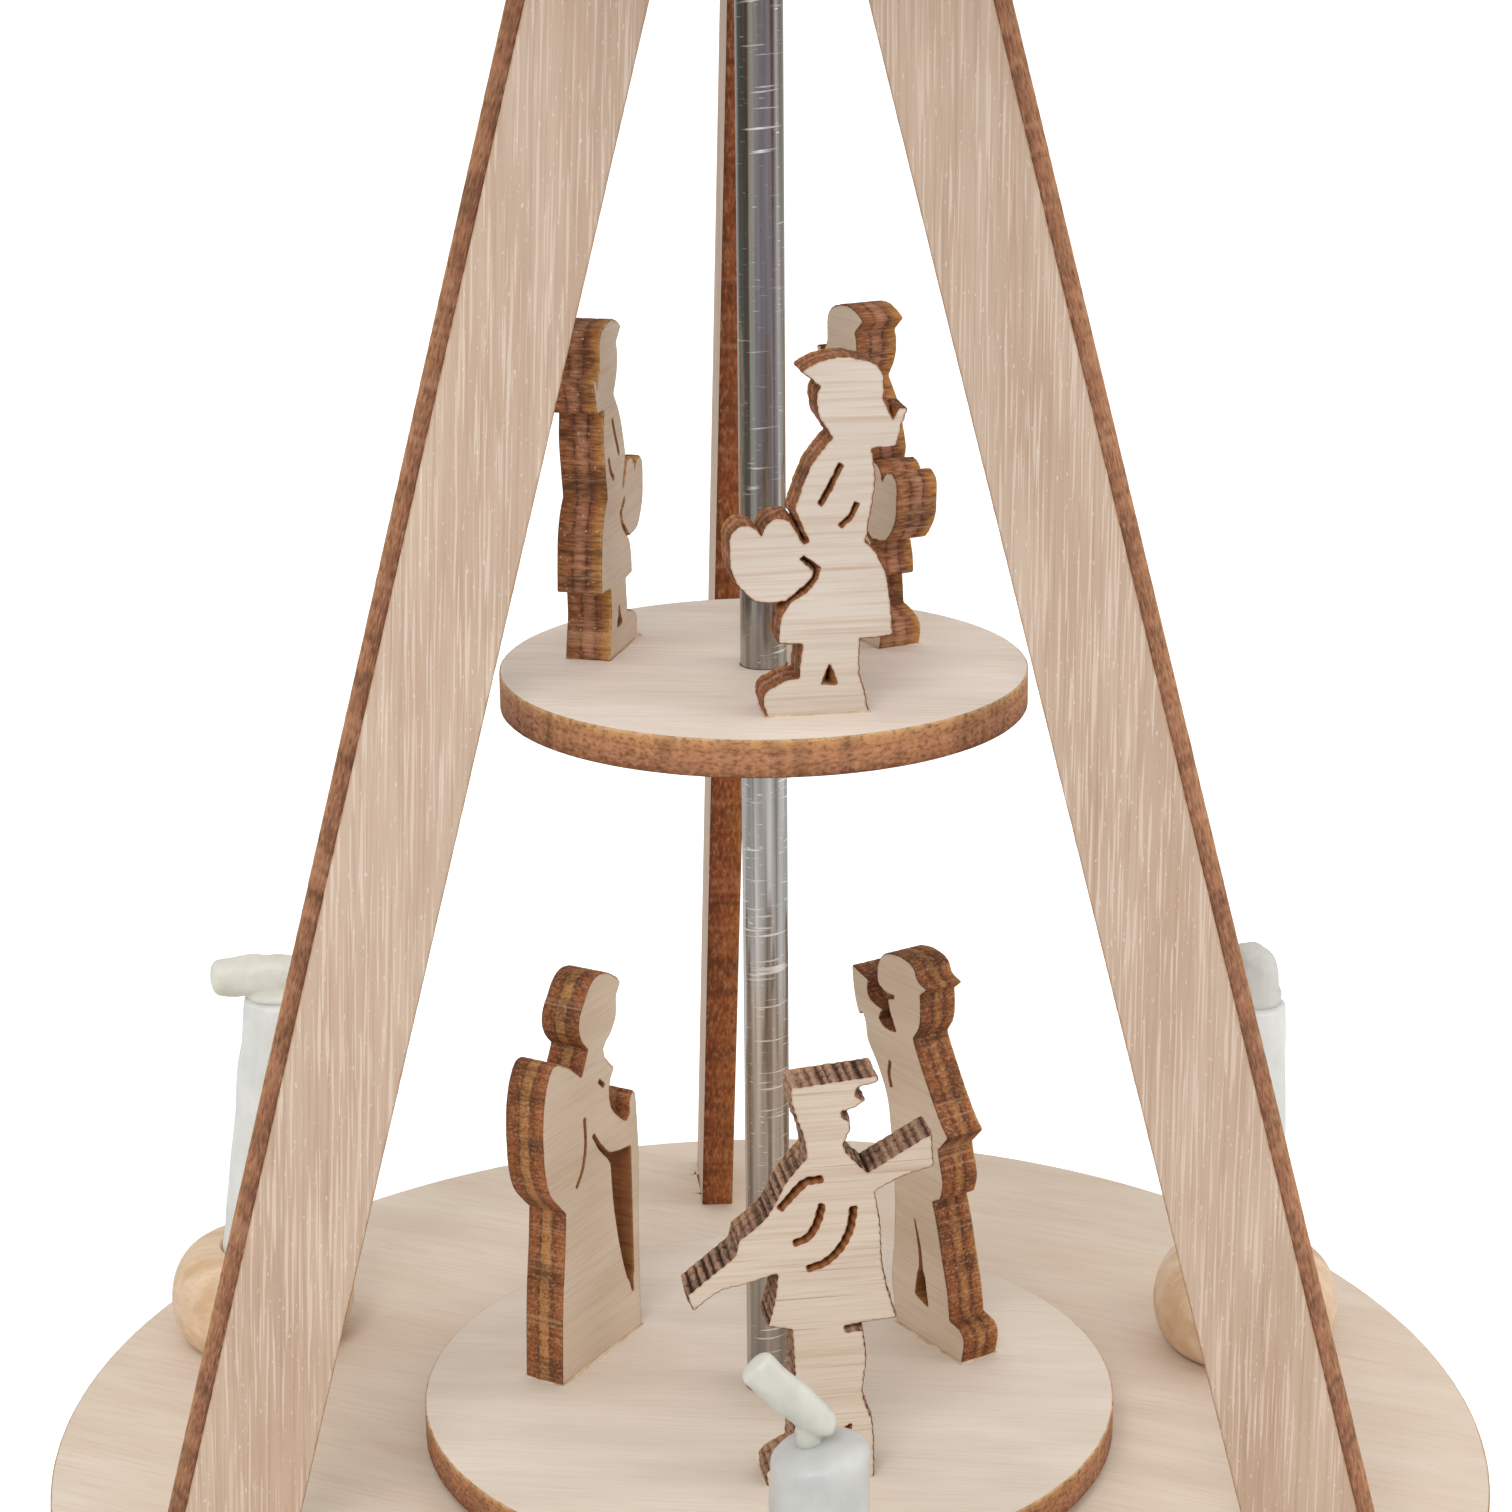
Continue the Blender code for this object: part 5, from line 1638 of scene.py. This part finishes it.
@dataclass
class Rotor:
    """The hub and its eight slanted blades.

    Args:
        blade_plywood: The thickness of the blades.
        hub_radius, rounding, hub_sides: The radius of the hub and of its rounded edges, and its sides.
        bore_radius, bore_depth: The size of its bore.
        blade_count: How many blades there are.
    """

    blade_plywood: float = 1.2
    hub_radius: float = 11.5
    rounding: float = 2.5
    bore_radius: float = 2.3
    bore_depth: float = 8.0
    hub_sides: int = 96
    blade_count: int = 8

    def build(self) -> None:
        """Make the hub and the blades."""
        self.build_hub()
        for number in range(1, self.blade_count + 1):
            self.build_blade(number)

    def build_hub(self) -> None:
        """Turn the hub."""
        low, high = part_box("rotor_hub")
        height = (high.z - low.z) / MM
        inner = self.hub_radius - self.rounding
        profile = [(0.0, height), *quarter(self.hub_radius, inner, height - self.rounding, height)[::-1],
                   *quarter(self.hub_radius, inner, self.rounding, 0.0), (self.bore_radius, 0.0),
                   (self.bore_radius, self.bore_depth), (0.0, self.bore_depth)]
        beech = TurnedBeech("turned_beech_hub", seed=90.0).material()
        hub = turned_object("turned_rotor_hub", profile, self.hub_sides, beech, Vector((0.0, 0.0, low.z)))
        hand_over(hub, Body.ROTOR, Slot.TURNED_WOOD, "rotor_hub")

    def build_blade(self, number: int) -> None:
        """Cut one blade, with the grain along it.

        Args:
            number: The blade's number, from one.
        """
        name = f"blade_{number}"
        low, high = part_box(name)
        outward = Vector(((low.x + high.x) / 2, (low.y + high.y) / 2, 0.0))
        face = BirchVeneer(f"sanded_birch_{name}", seed=100.0 + number)
        edge = BurntEdge(f"burnt_edge_{name}", self.blade_plywood, seed=110.0 + number, char_share=0.3)
        PlywoodPiece(name, Body.ROTOR, Slot.BLADE_PLYWOOD, tuple(outward), face, edge, step=0.6, ripple=0.02,
                     bevel=0.06).build()


@dataclass
class Candle:
    """A small wax candle with its waxed wick.

    Args:
        side: Which of the three it is.
        body: The body that it rides on.
        lean: How far its top leans towards +X.
        dome: The height of its rounded top.
        tones: Its wax, the bloom on it, the wick's wax and the bloom on that.
        strands: The wick's stretches, as rows of across, up from the candle's top and half the width.
        seed: A shift that makes its shape its own.
        swell: How much wider it is above its socket than in it.
        slump: How much lower its top lies on its left side.
        radius: Its radius.
        straight: The height up to which it stands straight in its socket.
        sides, side_rows, dome_rows: How many sides it gets, and rows of points up its side and its dome.
        dome_span: Where the dome's rows start and end, as shares of a quarter turn.
        swell_rate: How soon above the socket it is swollen in full.
        dent_depth, dent_shift: How deep the soft dents in its side are, and how far it lies out on the whole.
        dent_start, dent_edge: How far above the socket and out from the axis the dents start.
        dent_rates: How fast they come along X, Y and Z.
        slump_reach: How far the slump reaches below the dome.
        wick_sides: How many sides a stretch of the wick gets.
        wick_flatness, wick_bulge: The wick's depth and how much it bulges, as shares of its width.
        bulge_rate: How fast the bulges come along it.
        tip_reach, tip_power, tip_least: Over which share of its half width a stretch narrows at its ends,
            how bluntly, and what is left of its section there.
        wick_depth: How deep light sinks into the wick's wax.
        melt: The size of the grid that the stretches are melted on.
        soften, soften_steps: The share and the number of the steps that soften the melted skin.
    """

    side: str
    body: Body
    lean: float
    dome: float
    tones: tuple[str, str, str, str]
    strands: tuple[tuple[Place, ...], ...]
    seed: float
    swell: float = 0.0
    slump: float = 0.0
    radius: float = 3.7
    straight: float = 6.2
    sides: int = 56
    side_rows: int = 30
    dome_rows: int = 12
    dome_span: tuple[float, float] = (0.06, 0.985)
    swell_rate: float = 6.0
    dent_depth: float = 0.22
    dent_shift: float = -0.05
    dent_start: float = 0.6
    dent_edge: float = 0.5
    dent_rates: Place = (0.35, 0.35, 0.22)
    slump_reach: float = 1.0
    wick_sides: int = 20
    wick_flatness: float = 0.85
    wick_bulge: float = 0.1
    bulge_rate: float = 0.22
    tip_reach: float = 0.4
    tip_power: float = 2.6
    tip_least: float = 0.1
    wick_depth: float = 1.2
    melt: float = 0.14
    soften: float = 0.6
    soften_steps: int = 6

    def build(self) -> None:
        """Make the candle and its wick."""
        low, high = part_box(f"candle_{self.side}")
        length = (high.z - low.z) / MM
        foot = foot_of(f"candle_holder_{self.side}")
        foot.z = low.z
        wax = ParaffinWax(f"paraffin_candle_{self.side}", *self.tones[:2], seed=self.seed).material()
        candle = turned_object(f"cast_candle_{self.side}", self.profile(length), self.sides, wax, foot,
                               lambda height: self.lean * self.rise(height, length))
        self.dent(candle)
        hand_over(candle, self.body, Slot.WAX, f"candle_{self.side}")
        self.build_wick(foot + Vector((self.lean, 0.0, length)) * MM)

    def profile(self, length: float) -> list[tuple[float, float]]:
        """Draw the candle's outline, from its top down.

        Args:
            length: The candle's length.

        Returns:
            Radii and heights.
        """
        shoulder = length - self.dome
        overs = np.sin(np.linspace(*self.dome_span, self.dome_rows) * math.pi / 2)
        rows = np.linspace(0.0, shoulder, self.side_rows)
        heights = np.concatenate([rows, shoulder + self.dome * overs])
        outline = [(0.0, length)]
        for height in heights[::-1]:
            radius = self.radius + self.swell * min(1.0, self.swell_rate * self.rise(height, length))
            over = max(0.0, (height - shoulder) / self.dome)
            # A cubic arch is fuller at the shoulder than a round one, as cast wax is.
            outline.append((radius * (1.0 - over ** 3) ** (1 / 3), height))
        outline.append((0.0, 0.0))
        return outline

    def rise(self, height: float, length: float) -> float:
        """Find the share of the way from the socket's mouth to the top at a height, never below zero."""
        return max(0.0, (height - self.straight) / (length - self.straight))

    def dent(self, candle: Object) -> None:
        """Press soft dents into a candle's side above its socket, and let its top slump.

        Args:
            candle: The candle.
        """
        for vertex in candle.data.vertices:
            place = vertex.co / MM
            out = Vector((place.x - self.lean * self.rise(place.z, place.z + 1.0), place.y, 0.0))
            if place.z < self.straight + self.dent_start or out.length < self.dent_edge:
                continue
            x, y, z = (at * rate for at, rate in zip(place, self.dent_rates))
            soft = noise.noise(Vector((x, y, z + self.seed)))
            vertex.co += out.normalized() * (soft * self.dent_depth + self.dent_shift) * MM
        top = max(vertex.co.z for vertex in candle.data.vertices)
        for vertex in candle.data.vertices:
            high = max(0.0, 1.0 - (top - vertex.co.z) / MM / (self.dome + self.slump_reach))
            left = 0.5 - (vertex.co.x / MM - self.lean) / (2 * self.radius)
            vertex.co.z -= self.slump * high * left * MM

    @staticmethod
    def strand_line(points: Sequence[Place], steps: int = 8) -> np.ndarray:
        """Draw a smooth line through a stretch's points.

        Args:
            points: Across, up and half the width at each.
            steps: How many steps there are from one point to the next.

        Returns:
            Closely spaced rows of the same three numbers.
        """
        knots = np.array([points[0], *points, points[-1]])
        rows = []
        for at in range(1, len(knots) - 2):
            before, start, end, after = knots[at - 1:at + 3]
            for share in np.arange(steps) / steps:
                rows.append((2 * start + (end - before) * share
                             + (2 * before - 5 * start + 4 * end - after) * share ** 2
                             + (3 * start - before - 3 * end + after) * share ** 3) / 2)
        return np.array([*rows, knots[-1]])

    def build_wick(self, tip: Vector) -> None:
        """Make the wick: soft stretches of waxed cord that are melted into one skin.

        Args:
            tip: The top of the candle in the model, in metres.
        """
        build = MeshBuild()
        for points in self.strands:
            self.add_strand(build, self.strand_line(points))
        wax = ParaffinWax(f"waxed_wick_{self.side}", *self.tones[2:], self.wick_depth, self.seed + 5.0)
        wick = build.object(f"waxed_wick_{self.side}", [wax.material()], WICK_SHARP_TURN)
        wick.location = tip
        melt = wick.modifiers.new("melt", "REMESH")
        melt.mode = "VOXEL"
        melt.voxel_size = self.melt * MM
        melt.use_smooth_shade = True
        soften = wick.modifiers.new("soften", "SMOOTH")
        soften.factor = self.soften
        soften.iterations = self.soften_steps
        bpy.context.view_layer.update()
        melted = bpy.data.meshes.new_from_object(wick.evaluated_get(bpy.context.evaluated_depsgraph_get()))
        wick.modifiers.clear()
        wick.data = melted
        hand_over(wick, self.body, Slot.WICK, f"wick_{self.side}")

    def add_strand(self, build: MeshBuild, line: np.ndarray) -> None:
        """Sweep one stretch of the wick along its line, with blunt round ends.

        Args:
            build: The mesh being made.
            line: Rows of across, up and half the width.
        """
        middle, wide, sides = line[:, :2], line[:, 2], self.wick_sides
        ahead = np.gradient(middle, axis=0)
        ahead = ahead / np.linalg.norm(ahead, axis=1)[:, None]
        steps = np.linalg.norm(np.diff(middle, axis=0), axis=1)
        from_start = np.concatenate([[0.0], np.cumsum(steps)])
        to_end = from_start[-1] - from_start
        near = np.minimum(from_start, to_end) / (self.tip_reach * wide)
        narrowing = np.clip(1.0 - near, 0.0, 1.0) ** self.tip_power
        wide = wide * np.sqrt(np.clip(1.0 - narrowing, self.tip_least, 1.0))
        start = len(build.points)
        for at, (place, way, half) in enumerate(zip(middle, ahead, wide)):
            for side in range(sides):
                angle = math.tau * side / sides
                skin = Vector((at * self.bulge_rate, math.cos(angle), math.sin(angle) + self.seed))
                bulge = 1.0 + self.wick_bulge * noise.noise(skin)
                across = half * bulge * math.cos(angle)
                deep = half * self.wick_flatness * bulge * math.sin(angle)
                build.add_points(np.array([(place[0] - way[1] * across, deep, place[1] + way[0] * across)]))
        build.add_grid(start, len(middle), sides, 0)
        for row, way in ((0, 1), (len(middle) - 1, -1)):
            build.add_face([start + row * sides + side for side in range(sides)][::way], 0)


@dataclass
class Studio:
    """The white table, the soft lights and the camera of the photograph.

    Args:
        distance, height: How far the camera stands in front of the carousel's axis, and how high.
        pitch, yaw, roll: How far it looks down and to the right and is turned about its view, in radians.
        focal_pixels, nearest: Its focal length in the photograph's pixels, and its near limit in metres.
        room: The strength of the light from the pale room.
        boxes: Each soft box's name, place, size and power.
        aim_height: The height on the axis that the soft boxes face.
        cards: Places round the carousel and tones of the grey and white cards that the rod reflects.
        card_radius, card_height, card_count: The radius, the height and the sides of their ring.
        table_size, table_drop: Half the table's width, and how far it lies under the base.
        table_tone: The table's own tone.
        table_glow: How much light the table gives the camera, so that it shows white round the shadow.
    """

    distance: float = 275.92
    height: float = 155.25
    pitch: float = 0.2995
    yaw: float = -0.0025
    roll: float = -0.0075
    focal_pixels: float = 3313.7
    nearest: float = 0.01
    room: float = 0.8
    boxes: tuple[tuple[str, Place, float, float], ...] = (
        ("front_box", (-150.0, -560.0, 640.0), 420.0, 2.6), ("side_box", (560.0, -100.0, 330.0), 420.0, 0.95))
    aim_height: float = 60.0
    cards: Stops = ((0.0, "#A29DA8"), (0.07, "#A29DA8"), (0.09, "#DBDDD2"), (0.16, "#DBDDD2"),
                    (0.19, "#797B76"), (0.35, "#797B76"), (0.38, "#C6C3BF"), (0.49, "#C6C3BF"),
                    (0.6, "#A5A19C"), (0.7, "#ADA9A4"), (0.72, "#F2F1EC"), (0.752, "#F2F1EC"),
                    (0.78, "#96919B"), (1.0, "#A29DA8"))
    card_radius: float = 260.0
    card_height: float = 420.0
    card_count: int = 72
    table_size: float = 6000.0
    table_drop: float = 0.02
    table_tone: str = "#E6E6E6"
    table_glow: float = 0.62

    def build(self) -> None:
        """Set the table, the reflector cards, the lights and the camera."""
        self.build_table()
        self.build_cards()
        self.build_room()
        self.build_boxes()
        self.build_camera()

    def build_table(self) -> None:
        """Lay a white table that keeps the object's shadow."""
        size = self.table_size
        build = MeshBuild()
        corners = ((-size, -size), (size, -size), (size, size), (-size, size))
        build.add_points(np.array([(x, y, 0.0) for x, y in corners]))
        build.add_face((0, 1, 2, 3), 0)
        material, tree = empty_material("white_table_paper")
        paper = add_node(tree, "ShaderNodeBsdfDiffuse", {"Color": linear_colour(self.table_tone)})
        seen = add_node(tree, "ShaderNodeLightPath")
        glow = add_node(tree, "ShaderNodeEmission",
                        {"Color": linear_colour(WHITE), "Strength": self.table_glow})
        both = add_node(tree, "ShaderNodeAddShader", {}, {0: paper.outputs[0], 1: glow.outputs[0]})
        shown = add_node(tree, "ShaderNodeMixShader", {},
                         {0: seen.outputs["Is Camera Ray"], 1: paper.outputs[0], 2: both.outputs[0]})
        add_node(tree, "ShaderNodeOutputMaterial", {}, {"Surface": shown.outputs[0]})
        table = build.object("table", [material])
        table.location.z = -self.table_drop * MM

    def build_cards(self) -> None:
        """Stand grey and white reflector cards round the table, which only glossy reflections see."""
        build = MeshBuild()
        angles = np.arange(self.card_count) / self.card_count * math.tau
        x, y = self.card_radius * np.cos(angles), self.card_radius * np.sin(angles)
        for level in (0.0, self.card_height):
            build.add_points(np.column_stack([x, y, np.full(self.card_count, level)]))
        build.add_grid(0, 2, self.card_count, 0)
        material, tree = empty_material("reflector_cards")
        place = add_node(tree, "ShaderNodeTexCoord")
        split = add_node(tree, "ShaderNodeSeparateXYZ", {}, {0: place.outputs["Object"]})
        turn = add_node(tree, "ShaderNodeMath", {}, {0: split.outputs[0], 1: split.outputs[1]},
                        operation="ARCTAN2")
        share = add_node(tree, "ShaderNodeMapRange", {1: -math.pi, 2: math.pi}, {0: turn.outputs[0]})
        cards = add_node(tree, "ShaderNodeValToRGB", {}, {0: share.outputs[0]}, stops=self.cards)
        glow = add_node(tree, "ShaderNodeEmission", {"Strength": 1.0}, {"Color": cards.outputs[0]})
        add_node(tree, "ShaderNodeOutputMaterial", {}, {"Surface": glow.outputs[0]})
        ring = build.object("reflector_cards", [material])
        for ray in ("camera", "diffuse", "transmission", "volume_scatter", "shadow"):
            setattr(ring, f"visible_{ray}", False)

    def build_room(self) -> None:
        """Light the carousel from a pale room that shows as white behind it."""
        world = bpy.data.worlds.new("pale_room")
        bpy.context.scene.world = world
        world.use_nodes = True
        tree = world.node_tree
        tree.nodes.clear()
        seen = add_node(tree, "ShaderNodeLightPath")
        room = add_node(tree, "ShaderNodeBackground", {"Color": linear_colour(WHITE), "Strength": self.room})
        white = add_node(tree, "ShaderNodeBackground", {"Color": linear_colour(WHITE), "Strength": 1.0})
        shown = room
        for ray in ("Is Camera Ray", "Is Glossy Ray", "Is Transmission Ray"):
            shown = add_node(tree, "ShaderNodeMixShader", {},
                             {0: seen.outputs[ray], 1: shown.outputs[0], 2: white.outputs[0]})
        add_node(tree, "ShaderNodeOutputWorld", {}, {"Surface": shown.outputs[0]})

    def build_boxes(self) -> None:
        """Hang the soft boxes."""
        for name, place, size, power in self.boxes:
            lamp = bpy.data.lights.new(name, "AREA")
            lamp.shape = "SQUARE"
            lamp.size = size * MM
            lamp.energy = power
            light = bpy.data.objects.new(name, lamp)
            light.location = Vector(place) * MM
            aim = Vector((0.0, 0.0, self.aim_height)) * MM - light.location
            light.rotation_euler = aim.to_track_quat("-Z", "Y").to_euler()
            bpy.context.scene.collection.objects.link(light)

    def build_camera(self) -> None:
        """Place the camera where the photograph was taken from."""
        ahead = Vector((0.0, math.cos(self.pitch), -math.sin(self.pitch)))
        right = Vector((1.0, 0.0, 0.0))
        up = right.cross(ahead)
        turned_ahead = ahead * math.cos(self.yaw) + right * math.sin(self.yaw)
        turned_right = right * math.cos(self.yaw) - ahead * math.sin(self.yaw)
        across = turned_right * math.cos(self.roll) + up * math.sin(self.roll)
        upward = up * math.cos(self.roll) - turned_right * math.sin(self.roll)
        lens = bpy.data.cameras.new("photo_camera")
        lens.sensor_width = SENSOR_WIDTH
        lens.lens = self.focal_pixels * SENSOR_WIDTH / PHOTO_SIZE
        lens.clip_start = self.nearest
        camera = bpy.data.objects.new("photo_camera", lens)
        turn = Matrix((across, upward, -turned_ahead)).transposed()
        place = Matrix.Translation(Vector((0.0, -self.distance, self.height)) * MM)
        camera.matrix_world = place @ turn.to_4x4()
        bpy.context.scene.collection.objects.link(camera)
        bpy.context.scene.camera = camera


def candles() -> tuple[Candle, ...]:
    """Describe the three candles as they were photographed, with their wicks bent each its own way.

    Returns:
        The front, the left and the right candle.
    """
    front_wick = (((1.15, 0.85, 0.85), (0.1, 1.15, 1.2), (-1.6, 2.55, 1.5), (-3.3, 4.15, 1.5),
                   (-5.2, 6.0, 1.5)),
                  ((-0.9, -1.4, 1.0), (-0.9, -0.1, 0.95), (-0.9, 1.3, 0.9)))
    left_wick = (((2.9, 1.0, 1.7), (0.6, 1.75, 2.05), (-1.5, 1.95, 2.15), (-4.0, 1.85, 2.0),
                  (-6.8, 1.6, 1.7)),
                 ((0.0, -1.0, 3.5), (0.0, 0.1, 3.4), (-0.1, 1.4, 2.2)))
    right_wick = (((2.0, 4.6, 1.3), (0.9, 3.9, 2.0), (-0.6, 3.2, 2.1), (-2.4, 2.5, 2.0), (-4.8, 1.6, 1.8)),
                  ((0.0, -1.0, 3.6), (0.05, 0.4, 3.3), (0.2, 2.0, 2.9), (0.6, 3.8, 2.4), (1.2, 5.3, 1.5)))
    front_tones = ("#C6C6C2", "#B9BAB7", "#CDCCC2", "#C0BFB6")
    left_tones = ("#DFE0DC", "#D4D6D2", "#DBDACF", "#D0CFC5")
    right_tones = ("#DFE0DC", "#D4D6D2", "#CFCEC8", "#C6C5BF")
    return (
        Candle("front", Body.FRONT_CANDLE, 0.41, 2.2, front_tones, front_wick, 3.0, swell=0.18, slump=1.1),
        Candle("left", Body.LEFT_CANDLE, 3.5, 0.35, left_tones, left_wick, 7.0),
        Candle("right", Body.RIGHT_CANDLE, -1.0, 0.35, right_tones, right_wick, 11.0),
    )


def main() -> None:
    """Build the looks of the whole object and its studio."""
    logging.basicConfig(level=logging.INFO, format="%(name)s: %(message)s")
    for assembly in (StandFrame(), Carousel(), Rotor(), *candles(), Studio()):
        assembly.build()
    bpy.context.scene.view_settings.view_transform = "Standard"
    bpy.context.view_layer.update()


if __name__ == "__main__":
    main()
